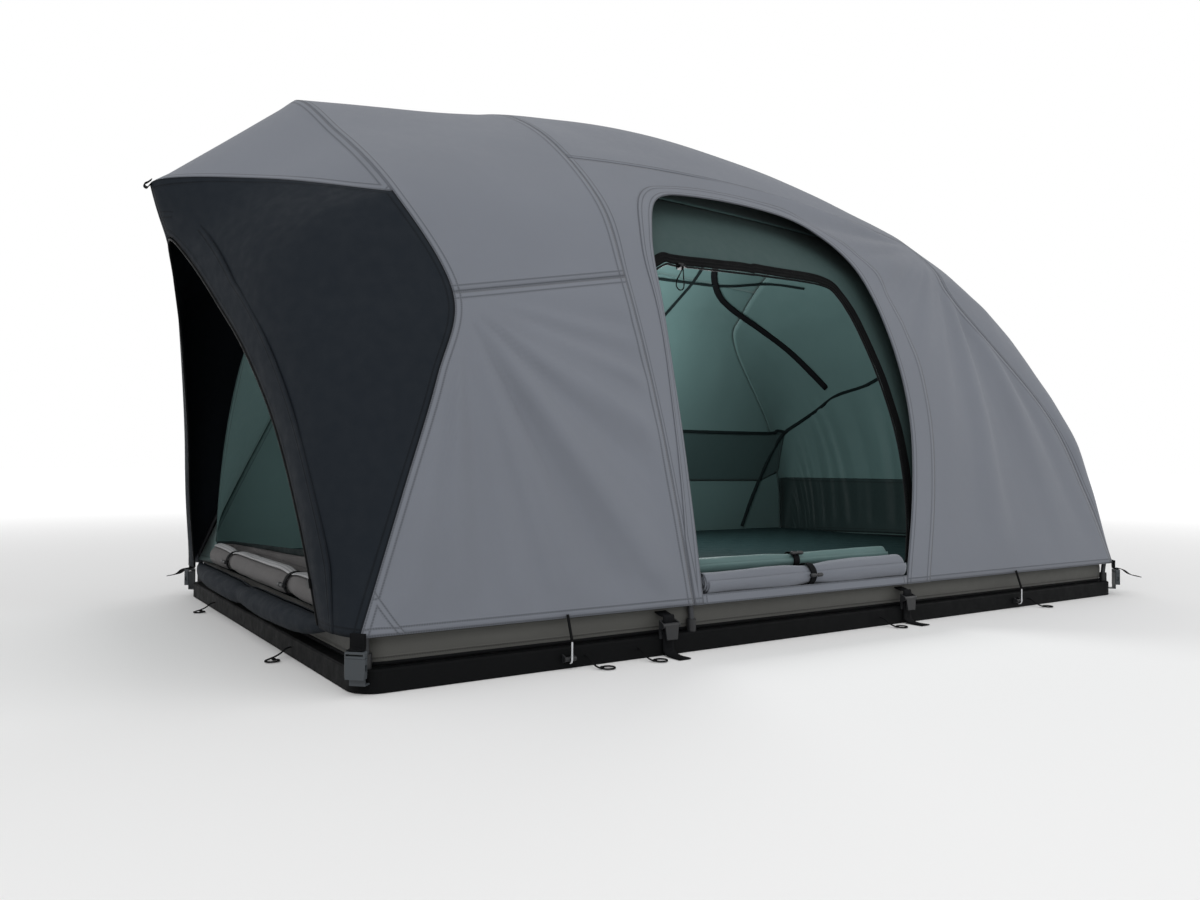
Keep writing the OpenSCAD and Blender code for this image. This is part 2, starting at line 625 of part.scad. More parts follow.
module rear_fly_door_roll() {
    color(fly_black) rolled(rear_fly_from, flip(rear_fly_from), rear_fly_roll_r, [0.5], [0, 0, 1]);
}
module rear_inner_door_roll() {
    color([0.36, 0.35, 0.34])
        rolled(rear_inner_from, flip(rear_inner_from), rear_inner_roll_r, rear_ties, [0, 0, 1]);
}

// Ties round the rolls, and the toggles that hold them shut
tie_t = 1.5;
module tie_band(at, r, axis) {
    inside = r * tie_draw + seat_gap;
    placed(at, cross([0, 0, 1], axis), [0, 0, 1], axis) rotate_extrude($fn = 48)
        translate([inside, -tie_w / 2]) square([tie_t, tie_w]);
}
side_fly_tie = mix(side_fly_from, side_fly_to, side_ties[0]);
side_inner_tie = mix(side_inner_from, side_inner_to, side_ties[0]);
rear_tie_near = mix(rear_inner_from, flip(rear_inner_from), rear_ties[0]);
rear_tie_far = mix(rear_inner_from, flip(rear_inner_from), rear_ties[1]);
module roll_ties() {
    color([0.06, 0.06, 0.07]) {
        tie_band(side_fly_tie, side_fly_roll_r, [1, 0, 0]);
        tie_band(side_inner_tie, side_inner_roll_r, [1, 0, 0]);
        tie_band(rear_tie_near, rear_inner_roll_r, [0, 1, 0]);
        tie_band(rear_tie_far, rear_inner_roll_r, [0, 1, 0]);
    }
}
function toggle_out(r) = r * tie_draw + 2 * seat_gap + tie_t + toggle_d / 2;
// A bar waisted at its middle, where the tie's loop holds it, lying along the roll
module toggle_bar(tie, r, out, axis) {
    end = toggle_l / 2;
    full_r = toggle_d / 2;
    waist_r = toggle_d * 0.36;
    color([0.05, 0.05, 0.06]) placed(tie + out * toggle_out(r), cross(out, axis), out, -axis)
        rotate_extrude($fn = 32) polygon([[0, -end], [waist_r, -end], [full_r, 3 - end], [full_r, -4],
            [waist_r, -2], [waist_r, 2], [full_r, 4], [full_r, end - 3], [waist_r, end], [0, end]]);
}
up_and_out = unit([0, -1, 1]);
module side_fly_toggle() toggle_bar(side_fly_tie, side_fly_roll_r, [0, -1, 0], [1, 0, 0]);
module side_inner_toggle() toggle_bar(side_inner_tie, side_inner_roll_r, up_and_out, [1, 0, 0]);
module rear_toggle_near() toggle_bar(rear_tie_near, rear_inner_roll_r, [-1, 0, 0], [0, 1, 0]);
module rear_toggle_far() toggle_bar(rear_tie_far, rear_inner_roll_r, [-1, 0, 0], [0, 1, 0]);

// Zips run just inside the edge of their opening
zip_off = zip_d / 2 + 4 * seat_gap;
door_heart = [door_rear_x + door_sweep / 2, 1.8];
// Point off the edge p, square to the edge and towards the heart of the opening
function off_edge(p, before, after, heart) = p + zip_off * square_to(heart - p, unit(after - before));
inner_heart = sink(front_bay_at(door_heart[0], door_heart[1]), inner_sink(door_heart[1]));
function side_edge(w) =
    let (q = along(inner_door, w * (len(inner_door) - 1)))
    sink(front_bay_at(q[0], max(0, q[1])), inner_sink(q[1]) + cloth_t / 2);
function side_zip_at(w) = off_edge(side_edge(w), side_edge(w - 0.004), side_edge(w + 0.004), inner_heart);
side_zip_path = [for (i = [1:len(ring_shares) - 2]) side_zip_at(ring_shares[i])];
zip_black = [0.04, 0.04, 0.05];
module side_zip() color(zip_black) swept(side_zip_path, same(zip_d / 2, side_zip_path), 6, [0, 1, 0]);
arch_heart = [-(half_l + 70), 0, 330];
rear_zip_ts = [for (t = t_grid(2 * t_edge, ridge_t - t_edge)) if (t > t_edge * 3) t];
function rear_arch_edge(t) = sink(along(arch, t), cloth_t / 2);
rear_zip_half = [for (t = rear_zip_ts)
    off_edge(rear_arch_edge(t), rear_arch_edge(t - 0.04), rear_arch_edge(t + 0.04), arch_heart)];
rear_zip_path = concat(rear_zip_half, [for (i = [len(rear_zip_half) - 1:-1:0]) flip(rear_zip_half[i])]);
module rear_zip() color(zip_black) swept(rear_zip_path, same(zip_d / 2, rear_zip_path), 6, [1, 0, 0]);

slider_clear = 0.7;
slider_wall = 2;
// C-shaped slider with its mouth towards +X, drawn along +Z
module slider_body() {
    hole = zip_d + 2 * slider_clear;
    size = hole + 2 * slider_wall;
    linear_extrude(slider_l, center = true) difference() {
        square(size, center = true);
        circle(d = hole, $fn = 32);
        translate([0, -zip_d / 4]) square([size, zip_d / 2]);
    }
}
side_slider_w = 5.05 / (len(inner_door) - 1);
side_slider_at = side_zip_at(side_slider_w);
side_slider_dir = unit(side_zip_at(6.9 / (len(inner_door) - 1)) - side_slider_at);
pull_pin_d = 2.4;
pull_fit = 0.06;
ear_off = slider_l * 0.34;
ear_w = slider_l * 0.22;
slider_half = zip_d / 2 + slider_clear + slider_wall;
pull_pivot = side_slider_at + [0, -1, 0] * (slider_half + 3);
module side_zip_slider() {
    mouth = square_to(side_slider_at - inner_heart, side_slider_dir);
    ear = [ear_w, 6, 5];
    color([0.12, 0.12, 0.13]) {
        placed(side_slider_at, mouth, cross(side_slider_dir, mouth), side_slider_dir) slider_body();
        difference() {
            for (k = [-1, 1]) translate(pull_pivot + [k * ear_off, 1, 0]) cube(ear, center = true);
            translate(pull_pivot) rotate([0, 90, 0])
                cylinder(h = 2 * slider_l, d = pull_pin_d + 2 * pull_fit, center = true, $fn = 32);
        }
    }
}
module side_zip_pull() {
    eye_l = 2 * ear_off - ear_w - 2 * seat_gap;
    color(zip_black) translate(pull_pivot) {
        rotate([0, 90, 0]) cylinder(h = slider_l * 0.8, d = pull_pin_d, center = true, $fn = 32);
        translate([0, 0, -pull_l / 2]) cube([eye_l, 2, pull_l], center = true);
        translate([0, 0, -pull_l]) rotate([90, 0, 0])
            cylinder(h = 3, d = eye_l + 4, center = true, $fn = 32);
    }
}
rear_slider_i = 0;
rear_slider_dir = unit(rear_zip_path[rear_slider_i + 1] - rear_zip_path[rear_slider_i]);
rear_slider_at = rear_zip_path[rear_slider_i] + rear_slider_dir * (slider_l / 2 + 2);
module rear_zip_slider() {
    mouth = square_to(rear_slider_at - arch_heart, rear_slider_dir);
    color([0.12, 0.12, 0.13]) placed(rear_slider_at, mouth, cross(rear_slider_dir, mouth), rear_slider_dir)
        slider_body();
}

// Corner straps: a side-release buckle hangs from each fly corner and is sewn to the base
fly_corner = rear_half[0];
corner_reach = norm([fly_corner[0] + half_l - base_corner_r, fly_corner[1] + half_w - base_corner_r]);
buckle_out = corner_reach + 1.5;
buckle_z = 26;
tab_z = base_h - 20;
buckle_wall = 2.5;
prong_clear = 0.5;
prong_l = buckle_h - 8;
plug_bar_h = 10;
module at_corner(x, y) {
    translate([x * (half_l - base_corner_r), y * (half_w - base_corner_r), 0])
        rotate([0, 0, atan2(y, x)]) children();
}
buckle_round = 2.5;
buckle_draw = 1.5;
// An outline in Y and Z, made thick along X
module facing_out(thick) {
    rotate([90, 0, 90]) linear_extrude(thick, center = true) children();
}
module eased(r) {
    offset(r = r, $fn = 24) offset(delta = -r) children();
}
// Moulded half of a buckle, drawn in where its webbing leaves it and rounded all round in plan
module buckle_half(height, foot, head) {
    slope = height * 0.32;
    widest = buckle_w / 2;
    intersection() {
        facing_out(buckle_t) eased(1) polygon([[-foot, 0], [foot, 0], [widest, slope],
            [widest, height - slope], [head, height], [-head, height], [-widest, height - slope],
            [-widest, slope]]);
        linear_extrude(height) eased(buckle_round) square([buckle_t, buckle_w], center = true);
    }
}
module buckle_socket() {
    tab_t = buckle_out - base_corner_r - seat_gap;
    floor_z = buckle_h - prong_l - 2 * seat_gap;
    window_d = buckle_t - 2 * buckle_wall;
    translate([buckle_out + buckle_t / 2, 0, buckle_z]) difference() {
        buckle_half(buckle_h, buckle_w / 2 - buckle_draw, buckle_w / 2);
        translate([-buckle_t / 2 + buckle_wall, -buckle_w / 2 + buckle_wall, floor_z])
            cube([buckle_t - 2 * buckle_wall, buckle_w - 2 * buckle_wall, buckle_h]);
        // Side windows where the prongs are squeezed
        for (y = [-1, 1]) hull() for (z = [0.48, 0.62])
            translate([0, y * buckle_w / 2, buckle_h * z]) rotate([90, 0, 0])
                cylinder(h = 3 * buckle_wall, d = window_d, center = true, $fn = 32);
    }
    // Webbing tab that holds the socket to the edge of the base
    translate([base_corner_r + seat_gap, -webbing_w / 2, tab_z]) cube([tab_t, webbing_w, webbing_t]);
    translate([buckle_out, -webbing_w / 2, tab_z]) cube([webbing_t, webbing_w, buckle_z - tab_z]);
}
module corner_buckle_sockets() {
    color([0.33, 0.38, 0.41]) for (x = [-1, 1], y = [-1, 1]) at_corner(x, y) buckle_socket();
}
module buckle_plug() {
    inner_t = buckle_t - 2 * buckle_wall - 2 * prong_clear;
    inner_w = buckle_w - 2 * buckle_wall - 2 * prong_clear;
    prong_w = 5;
    color([0.33, 0.38, 0.41]) translate([buckle_out + buckle_t / 2, 0, buckle_z + buckle_h + seat_gap]) {
        difference() {
            buckle_half(plug_bar_h, buckle_w / 2, buckle_w / 2 - buckle_draw);
            translate([-buckle_t, -webbing_w / 2 - 1, 3.5])
                cube([2 * buckle_t, webbing_w + 2, webbing_t + 1]);
        }
        // Two prongs with tapered tips, and a shorter guide between them
        for (y = [0, 1]) mirror([0, y, 0]) facing_out(inner_t)
            polygon([[inner_w / 2, 0], [inner_w / 2 - prong_w, 0], [inner_w / 2 - prong_w, -prong_l],
                     [inner_w / 2 - prong_w * 0.6, -prong_l], [inner_w / 2, -prong_l + prong_w]]);
        guide_l = prong_l - 6;
        facing_out(inner_t) translate([-2, -guide_l]) square([4, guide_l]);
    }
}
module plug_near_rear() at_corner(-1, -1) buckle_plug();
module plug_far_rear() at_corner(-1, 1) buckle_plug();
module plug_near_nose() at_corner(1, -1) buckle_plug();
module plug_far_nose() at_corner(1, 1) buckle_plug();

// Flat strip along a path of [out, up] points, standing across +Y
function strip_side(path, off) = [for (i = [0:len(path) - 1])
    let (last = len(path) - 1, d = unit(path[min(i + 1, last)] - path[max(i - 1, 0)]))
    path[i] + off * [-d[1], d[0]]];
function reversed(list) = [for (i = [len(list) - 1:-1:0]) list[i]];
module strip(path, width) {
    rotate([90, 0, 0]) linear_extrude(width, center = true)
        polygon(concat(strip_side(path, webbing_t / 2), reversed(strip_side(path, -webbing_t / 2))));
}
plug_top = buckle_z + buckle_h + seat_gap + plug_bar_h;
strap_out = corner_reach + seat_gap + webbing_t / 2;
module corner_strap(tail) {
    top = hem_z + 8;
    // The strap is sewn under the fly corner, and its free tail stands off the buckle
    end = [strap_out + 3, plug_top + webbing_t / 2 + seat_gap];
    path = [[strap_out, top], [strap_out, plug_top + 6], end];
    loose = [end, end + [buckle_t - 2, 1], end + [buckle_t + 10, -3], end + [tail * 0.6, -14],
             end + [tail, -20]];
    color([0.06, 0.06, 0.07])
        strip(concat(path, tail > 0 ? beyond(loose) : [end + [buckle_t - 4, seat_gap]]), webbing_w);
}
tail_l = 62;
module strap_near_rear() at_corner(-1, -1) corner_strap(0);
module strap_far_rear() at_corner(-1, 1) corner_strap(tail_l);
module strap_near_nose() at_corner(1, -1) corner_strap(tail_l);
module strap_far_nose() at_corner(1, 1) corner_strap(tail_l);

// Lash straps with cam buckles along both long sides
lash_x = [-480, 178];
frame_w = 38;
frame_h = 34;
frame_t = 2.5;
frame_z = 30;
ear_t = 3;
cam_r = 4.5;
cam_fit = 0.06;
trunnion_r = 2.5;
strap_lift = frame_t + seat_gap + webbing_t / 2;
cam_out = strap_lift + webbing_t / 2 + seat_gap + cam_r;
cam_z = frame_z + frame_h - 10;
module at_side(x, y) {
    translate([x, y * (half_w + seat_gap), 0]) rotate([0, 0, y * 90]) children();
}
module lash_strap() {
    tub_out = -(ledge_w + seat_gap) + webbing_t / 2 + seat_gap;
    lying = webbing_t / 2 + seat_gap;
    path = [[tub_out, hem_z - 8], [-4, hem_z - 13], [strap_lift, frame_z + frame_h + 2], [strap_lift, 16],
            [strap_lift + 5, 6], [strap_lift + 18, lying], [strap_lift + 48, lying]];
    strip(path, webbing_w);
}
module lash_straps() {
    color([0.06, 0.06, 0.07]) for (x = lash_x, y = [-1, 1]) at_side(x, y) lash_strap();
}
ear_rim = 2.2;
ear_h = 16;
frame_slot = 5;
// Back plate with a slot for the sewn end of the webbing, and two ears that carry the cam
module cam_frame() {
    difference() {
        union() {
            translate([frame_t / 2, 0, frame_z + frame_h / 2]) facing_out(frame_t) difference() {
                eased(3) square([frame_w, frame_h], center = true);
                translate([0, frame_slot - frame_h / 2 + ear_t]) eased(frame_slot / 2 - 0.1)
                    square([webbing_w + 2, frame_slot], center = true);
            }
            for (k = [-1, 1]) translate([0, k * (frame_w - ear_t) / 2, cam_z]) rotate([90, 0, 0])
                linear_extrude(ear_t, center = true) hull() {
                    translate([0, -ear_h / 2]) square([frame_t, ear_h]);
                    translate([cam_out, 0]) circle(r = trunnion_r + ear_rim, $fn = 32);
                }
        }
        translate([cam_out, 0, cam_z]) rotate([90, 0, 0])
            cylinder(h = 2 * frame_w, r = trunnion_r + cam_fit, center = true, $fn = 48);
    }
}
module cam_frames() {
    color([0.1, 0.1, 0.11]) for (x = lash_x, y = [-1, 1]) at_side(x, y) cam_frame();
}
module cam_lever() {
    lever_w = frame_w - 2 * ear_t - 2 * seat_gap;
    plate_t = 3;
    thumb_lift = 1.5;
    tip_z = -lever_l - plate_t;
    color([0.13, 0.13, 0.14]) translate([cam_out, 0, cam_z]) {
        rotate([90, 0, 0]) cylinder(h = frame_w, r = trunnion_r, center = true, $fn = 48);
        rotate([90, 0, 0]) cylinder(h = lever_w, r = cam_r, center = true, $fn = 48);
        // Thumb plate: it tapers to a rounded end that stands off the strap
        intersection() {
            rotate([90, 0, 0]) linear_extrude(lever_w, center = true) hull() {
                translate([cam_r - plate_t, -lever_l / 3]) square([plate_t, lever_l / 3]);
                translate([cam_r - plate_t / 2 + thumb_lift, -lever_l]) circle(d = plate_t, $fn = 24);
            }
            translate([cam_r, 0, 0]) facing_out(4 * cam_r) eased(3)
                polygon([[-lever_w / 2, cam_r], [lever_w / 2, cam_r], [lever_w / 2 - 4, tip_z],
                         [4 - lever_w / 2, tip_z]]);
        }
    }
}
module lever_near_rear() at_side(lash_x[0], -1) cam_lever();
module lever_near_front() at_side(lash_x[1], -1) cam_lever();
module lever_far_rear() at_side(lash_x[0], 1) cam_lever();
module lever_far_front() at_side(lash_x[1], 1) cam_lever();

// Hem elastics pull the fly down to hooks on cleats at the base edge
hook_x = [-690, 590];
cleat_d = 8;
cleat_z = 17;
hook_bend_r = cleat_d / 2 + seat_gap + hook_d / 2;
hook_out = cleat_d / 2 + 4;
hook_top = 46;
cleat_leg_y = 9.5;
cleat_leg_t = 3;
cleat_foot_h = 14;
module hem_cleats() {
    color([0.08, 0.08, 0.09]) for (x = hook_x, y = [-1, 1]) at_side(x, y) {
        translate([hook_out, 0, cleat_z]) rotate([90, 0, 0])
            cylinder(h = 22, d = cleat_d, center = true, $fn = 32);
        for (k = [-1, 1]) translate([0, k * cleat_leg_y, cleat_z]) rotate([90, 0, 0])
            linear_extrude(cleat_leg_t, center = true) hull() {
                translate([0, -cleat_foot_h / 2]) square([1, cleat_foot_h]);
                translate([hook_out, 0]) circle(d = cleat_d, $fn = 32);
            }
    }
}
module hem_hooks() {
    color([0.75, 0.76, 0.78]) for (x = hook_x, y = [-1, 1]) at_side(x, y) {
        translate([hook_out, 0, cleat_z]) rotate([90, 0, 0]) rotate([0, 0, 180])
            rotate_extrude(angle = 180, $fn = 48) translate([hook_bend_r, 0]) circle(d = hook_d, $fn = 24);
        translate([hook_out + hook_bend_r, 0, cleat_z])
            cylinder(h = hook_top - cleat_z, d = hook_d, $fn = 24);
    }
}
module hem_elastics() {
    low = [hook_out + hook_bend_r, 0, hook_top + seat_gap];
    high = [0, 0, hem_z + 5];
    elastic_lift = 1.2;
    dir = unit(high - low);
    across = [0, 1, 0];
    color([0.07, 0.07, 0.08]) for (x = hook_x, y = [-1, 1]) at_side(x, y)
        placed(low + dir * elastic_lift, cross(across, dir), across, dir)
            cylinder(h = norm(high - low), d = elastic_d, $fn = 24);
}

// Thin tie cords lie beside the base in one open loop each, [along, out, up] from the base edge
cord_low = tie_cord_d / 2 + 0.3;
tie_loop = [[0, 0.9, 16], [0, 10, 14], [2, 20, 7], [4, 32, 2], [10, 44, 0], [20, 50, 0], [30, 46, 0],
            [33, 36, 0], [27, 28, 0], [18, 28, 0], [12, 34, 0]];
tie_side_x = [-655, -545, 95, 640];
tie_rear_y = [-300, 330];
module tie_cord(x, y, angle) {
    path = [for (p = tie_loop) [p[1], p[0], cord_low + p[2]]];
    translate([x, y, 0]) rotate([0, 0, angle]) swept(path, same(tie_cord_d / 2, path), 8, [0, 0.1, 1]);
}
module tie_cords() {
    color([0.05, 0.05, 0.06]) {
        for (x = tie_side_x) tie_cord(x, -half_w, -90);
        for (y = tie_rear_y) tie_cord(-half_l, y, 180);
    }
}

base_panel();
tub_wall();
mattress();
rear_hoop_pole();
middle_hoop_pole();
nose_hoop_pole();
ridge_pole();
pole_sockets();
pole_hubs();
fly_rear_wall_near();
fly_rear_wall_far();
fly_roof_rear();
fly_roof_front();
fly_nose_panel();
fly_brow();
fly_rear_panel_near();
fly_rear_panel_far();
beak_tip_tab();
fly_side_panel_near();
fly_side_panel_far();
fly_side_door_far();
inner_side_near();
inner_side_far();
inner_roof();
inner_rear_bay();
inner_nose_wall();
inner_rear_wall();
side_fly_door_roll();
side_inner_door_roll();
rear_fly_door_roll();
rear_inner_door_roll();
roll_ties();
side_fly_toggle();
side_inner_toggle();
rear_toggle_near();
rear_toggle_far();
side_zip();
rear_zip();
side_zip_slider();
side_zip_pull();
rear_zip_slider();
corner_buckle_sockets();
plug_near_rear();
plug_far_rear();
plug_near_nose();
plug_far_nose();
strap_near_rear();
strap_far_rear();
strap_near_nose();
strap_far_nose();
lash_straps();
cam_frames();
lever_near_rear();
lever_near_front();
lever_far_rear();
lever_far_front();
hem_cleats();
hem_hooks();
hem_elastics();
tie_cords();
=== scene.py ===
"""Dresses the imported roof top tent: sewn cloth, webbing, cords, zips, moulded fittings and the stage."""
import math

import bmesh
import bpy
from mathutils import Matrix, Vector, noise


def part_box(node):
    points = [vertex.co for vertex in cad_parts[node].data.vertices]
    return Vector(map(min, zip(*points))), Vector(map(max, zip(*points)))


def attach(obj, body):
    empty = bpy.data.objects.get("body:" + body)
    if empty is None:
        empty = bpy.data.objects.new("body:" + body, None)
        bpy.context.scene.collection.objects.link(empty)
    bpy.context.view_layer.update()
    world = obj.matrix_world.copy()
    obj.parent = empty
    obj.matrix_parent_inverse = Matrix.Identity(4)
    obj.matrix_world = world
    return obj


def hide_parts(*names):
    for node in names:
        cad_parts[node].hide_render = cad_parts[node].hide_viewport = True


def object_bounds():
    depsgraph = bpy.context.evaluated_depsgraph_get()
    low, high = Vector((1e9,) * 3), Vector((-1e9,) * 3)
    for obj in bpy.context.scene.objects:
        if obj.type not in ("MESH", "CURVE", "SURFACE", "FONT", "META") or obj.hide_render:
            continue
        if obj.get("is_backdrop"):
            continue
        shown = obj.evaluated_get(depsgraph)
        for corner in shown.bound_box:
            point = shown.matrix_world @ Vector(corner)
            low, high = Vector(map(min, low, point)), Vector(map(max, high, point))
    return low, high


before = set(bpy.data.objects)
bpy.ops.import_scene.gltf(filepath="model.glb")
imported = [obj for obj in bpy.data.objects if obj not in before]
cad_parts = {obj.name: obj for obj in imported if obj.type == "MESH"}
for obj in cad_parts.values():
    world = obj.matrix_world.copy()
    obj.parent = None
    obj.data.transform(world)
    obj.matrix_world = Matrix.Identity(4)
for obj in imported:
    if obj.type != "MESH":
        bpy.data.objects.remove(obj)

bl_info = {
    "name": "Roof top tent",
    "version": (1, 0, 0),
    "blender": (4, 5, 0),
    "location": "View3D > Sidebar > Tent",
    "description": "Builds the cloth, straps and fittings of a roof top tent over its packed frame",
    "category": "Add Mesh",
}

TAU = math.tau
SIDES = {"near": -1, "far": 1}
ENDS = {"rear": -1, "nose": 1}
ALONG, ACROSS, UP = Vector((1, 0, 0)), Vector((0, 1, 0)), Vector((0, 0, 1))


def srgb(red, green, blue):
    """A colour given in 0 to 255 display steps, as linear light."""
    return tuple(((c / 255 + 0.055) / 1.055) ** 2.4 for c in (red, green, blue))


def colour(label, red, green, blue):
    """A colour that the user can change."""
    return bpy.props.FloatVectorProperty(
        name=label, description=f"Colour of the {label.lower()}", subtype="COLOR", size=3, min=0, max=1,
        default=srgb(red, green, blue))


def length(label, description, metres):
    """A length that the user can change."""
    return bpy.props.FloatProperty(
        name=label, description=description, default=metres, min=0, unit="LENGTH", precision=4)


class TentColours(bpy.types.PropertyGroup):
    """Colours of the cloth and the fittings"""
    fly: colour("Fly", 108, 112, 120)
    rear: colour("Rear panels", 26, 31, 37)
    inner: colour("Inner tent", 80, 105, 104)
    lower: colour("Lower inner panels", 46, 66, 66)
    binding: colour("Dark bindings", 22, 31, 32)
    tub: colour("Tub", 80, 80, 77)
    mattress: colour("Mattress cover", 27, 44, 45)
    rear_roll: colour("Rear inner door", 80, 78, 78)
    tape: colour("Pale zip tape", 158, 158, 160)
    webbing: colour("Webbing", 15, 16, 18)
    cord: colour("Cords", 15, 16, 17)
    moulded: colour("Moulded fittings", 26, 27, 29)
    buckle: colour("Corner buckles", 54, 59, 63)
    base: colour("Base", 12, 13, 14)
    zip: colour("Zips", 10, 11, 12)
    pole: colour("Poles", 54, 56, 59)
    hook: colour("Hooks", 205, 207, 210)
    floor: colour("Floor", 236, 236, 236)


class TentSizes(bpy.types.PropertyGroup):
    """Sizes of the cloth work"""
    cloth: length("Fly cloth", "Thickness of the fly cloth", 0.0012)
    inner_cloth: length("Inner cloth", "Thickness of the inner tent's cloth", 0.0008)
    weave: length("Weave", "Pitch of the fly's weave", 0.0011)
    rib: length("Webbing rib", "Pitch of the ribs across the webbing", 0.0024)
    row: length("Seam row", "Distance of the first row of stitches from a sewn edge", 0.0015)
    second_row: length("Second row", "Distance of the second row of stitches from a sewn edge", 0.012)
    stitch: length("Stitch", "Length of one stitch", 0.0042)
    facing: length("Facing", "Width of the facing round the side doors", 0.046)
    arch_facing: length("Arch facing", "Width of the facing round the rear arch", 0.066)
    slack: length("Slack", "Depth of the soft folds in the walls", 0.011)
    zip_tape: length("Zip tape", "Width of the zip tape on the inner side door", 0.021)
    binding: length("Binding", "Width of the dark binding round the inner rear door", 0.022)


def settings():
    """The sizes and the colours in use."""
    scene = bpy.context.scene
    return scene.tent_sizes, scene.tent_colours


# Curves
def mirrored(p):
    """The same point on the other side of the tent."""
    return Vector((p[0], -p[1], p[2]))


def on_side(sign):
    """Keeps a point of the near side, or moves it to the far one."""
    return mirrored if sign > 0 else Vector


def hoop(*half):
    """All stations of a hoop, from the near hem over the ridge to the far hem."""
    near = [Vector(p) for p in half]
    return near + [mirrored(p) for p in reversed(near[:-1])]


# Stations in metres, from the near hem to the ridge
REAR = hoop((-1.045, -.632, .083), (-.965, -.592, .290), (-.890, -.550, .480), (-.840, -.500, .633),
            (-.920, -.427, .811), (-.955, -.225, .968), (-.980, 0, 1.090))
MIDDLE = hoop((-.415, -.632, .083), (-.432, -.598, .280), (-.452, -.556, .483), (-.480, -.500, .703),
              (-.495, -.424, .873), (-.523, -.225, 1.062), (-.540, 0, 1.150))
NOSE = hoop((1.045, -.632, .083), (.988, -.588, .273), (.880, -.538, .493), (.630, -.440, .773),
            (.608, -.380, .878), (.604, -.220, 1.008), (.600, 0, 1.080))
NOSE_SWELL = hoop((1.058, -.624, .083), (1.072, -.596, .288), (1.088, -.564, .451), (1.130, -.502, .643),
                  (1.150, -.422, .688), (1.165, -.220, .698), (1.170, 0, .698))
NOSE_HEM = hoop((1.059, -.592, .083), (1.060, -.552, .083), (1.060, -.502, .083), (1.060, -.432, .083),
                (1.060, -.312, .083), (1.060, -.160, .083), (1.060, 0, .083))
ARCH = hoop((-1.065, -.505, .083), (-1.084, -.467, .238), (-1.104, -.387, .400), (-1.130, -.292, .530),
            (-1.156, -.192, .626), (-1.186, -.092, .718), (-1.210, 0, .776))
REAR_SWELL = hoop((-1.074, -.598, .083), (-1.102, -.592, .265), (-1.116, -.576, .440), (-1.126, -.538, .590),
                  (-1.146, -.406, .720), (-1.168, -.175, .792), (-1.232, 0, .824))
BROW = hoop((-.920, -.427, .811), (-1.087, -.208, .860), (-1.244, 0, .876))
INNER_ARCH = hoop((-1.028, -.440, .0953), (-1.028, -.4202, .2478), (-1.024, -.3696, .4028),
                  (-1.018, -.2904, .5332), (-1.012, -.1892, .6279), (-1.008, -.095, .6832), (-1.006, 0, .698))
# Side door outlines on the front bay: x and the station t
FLY_DOOR = [Vector(p) for p in (
    (-.392, 0), (-.396, 1.4), (-.398, 2.7), (-.388, 3.55), (-.332, 4.08), (-.192, 4.2), (.060, 4.17),
    (.170, 3.92), (.245, 3.4), (.290, 2.75), (.300, 2.1), (.268, 1.2), (.185, 0))]
INNER_DOOR = [Vector(p) for p in (
    (-.406, .05), (-.406, 1.4), (-.404, 2.6), (-.392, 3.2), (-.342, 3.45), (-.302, 3.45), (-.162, 3.45),
    (-.082, 3.45), (-.042, 3.45), (.155, 3.40), (.215, 3.16), (.258, 2.65), (.284, 2.1), (.288, 1.4), (.265, .7),
    (.220, .05))]
# Stations of the ridge, the far hem, the brow's foot, the shoulder seam and the roof seam
RIDGE_T, FAR_T, BROW_T, SHOULDER_T, ROOF_T = 6, 12, 4, 3, 4.5
# Stations that a panel stays clear of a hem or a seam, and share of the way to a hoop where a rear panel is sewn in
HEM_GAP, SEAM_GAP, SEWN_IN = .003, .002, .9988
# The line that walls sink towards: its height, and its share of a wall point's x
CORE_Z, CORE_REACH = .35, .75
# Depth of the inner tent under the fly, at the hem and above the shoulder
HEM_DEPTH, INNER_DEPTH = .0245, .045
# Swell of the front bay, crown of the fly over it, and how far the inner rear wall bows out
BAY_SWELL, FLY_CROWN, REAR_BOW = .026, .046, .03
# Crown of the nose panel, and the share of its run where the crown ends
NOSE_CROWN, NOSE_CROWN_END = Vector((.012, 0, .034)), .6
# Where the folds of a side panel start, and the shares of its border where its roof seam starts and ends
SIDE_PULL, ROOF_FROM, ROOF_TO = Vector((.62, -.40, .94)), .36, .66
# Base: height of its top, half its length and width, and the plane beside it in which straps hang; the tub's top
BASE_TOP, BASE_HALF_L, BASE_HALF_W, BASE_SIDE, TUB_TOP = .035, 1.05, .635, .6354, .0920
# Centre of the base's rounded corner
CORNER_X, CORNER_Y = 1.005, .590


def along(points, t):
    """Smooth curve through every point, one point for each whole t."""
    last = len(points) - 1
    i = max(0, min(math.floor(t), last - 1))
    f = t - i
    b, c = points[i], points[i + 1]
    a = points[i - 1] if i > 0 else 2 * b - c
    d = points[i + 2] if i + 2 <= last else 2 * c - b
    return (2 * b + (c - a) * f + (2 * a - 5 * b + 4 * c - d) * f * f + (3 * b - a - 3 * c + d) * f ** 3) / 2


def curve_through(points, per_span):
    """Dense points of the smooth curve through the given ones."""
    points = [Vector(p) for p in points]
    return [along(points, k / per_span) for k in range((len(points) - 1) * per_span + 1)]


def heading(points, i):
    """Direction of a run of points at one of them."""
    return (points[min(i + 1, len(points) - 1)] - points[max(i - 1, 0)]).normalized()


def mix(a, b, f):
    return a + (b - a) * f


def bend(a, b, c, f):
    return mix(mix(a, b, f), mix(b, c, f), f)


def smooth(f):
    f = max(0.0, min(1.0, f))
    return f * f * (3 - 2 * f)


def over(v, gap):
    """Station at share v of the way from a gap above the near hem to the same gap at the far one."""
    return mix(gap, FAR_T - gap, v)


def upper(t):
    """Nothing up to the shoulder, and 1 at the ridge."""
    return max(0, 1 - abs(t - RIDGE_T) / (RIDGE_T - SHOULDER_T))


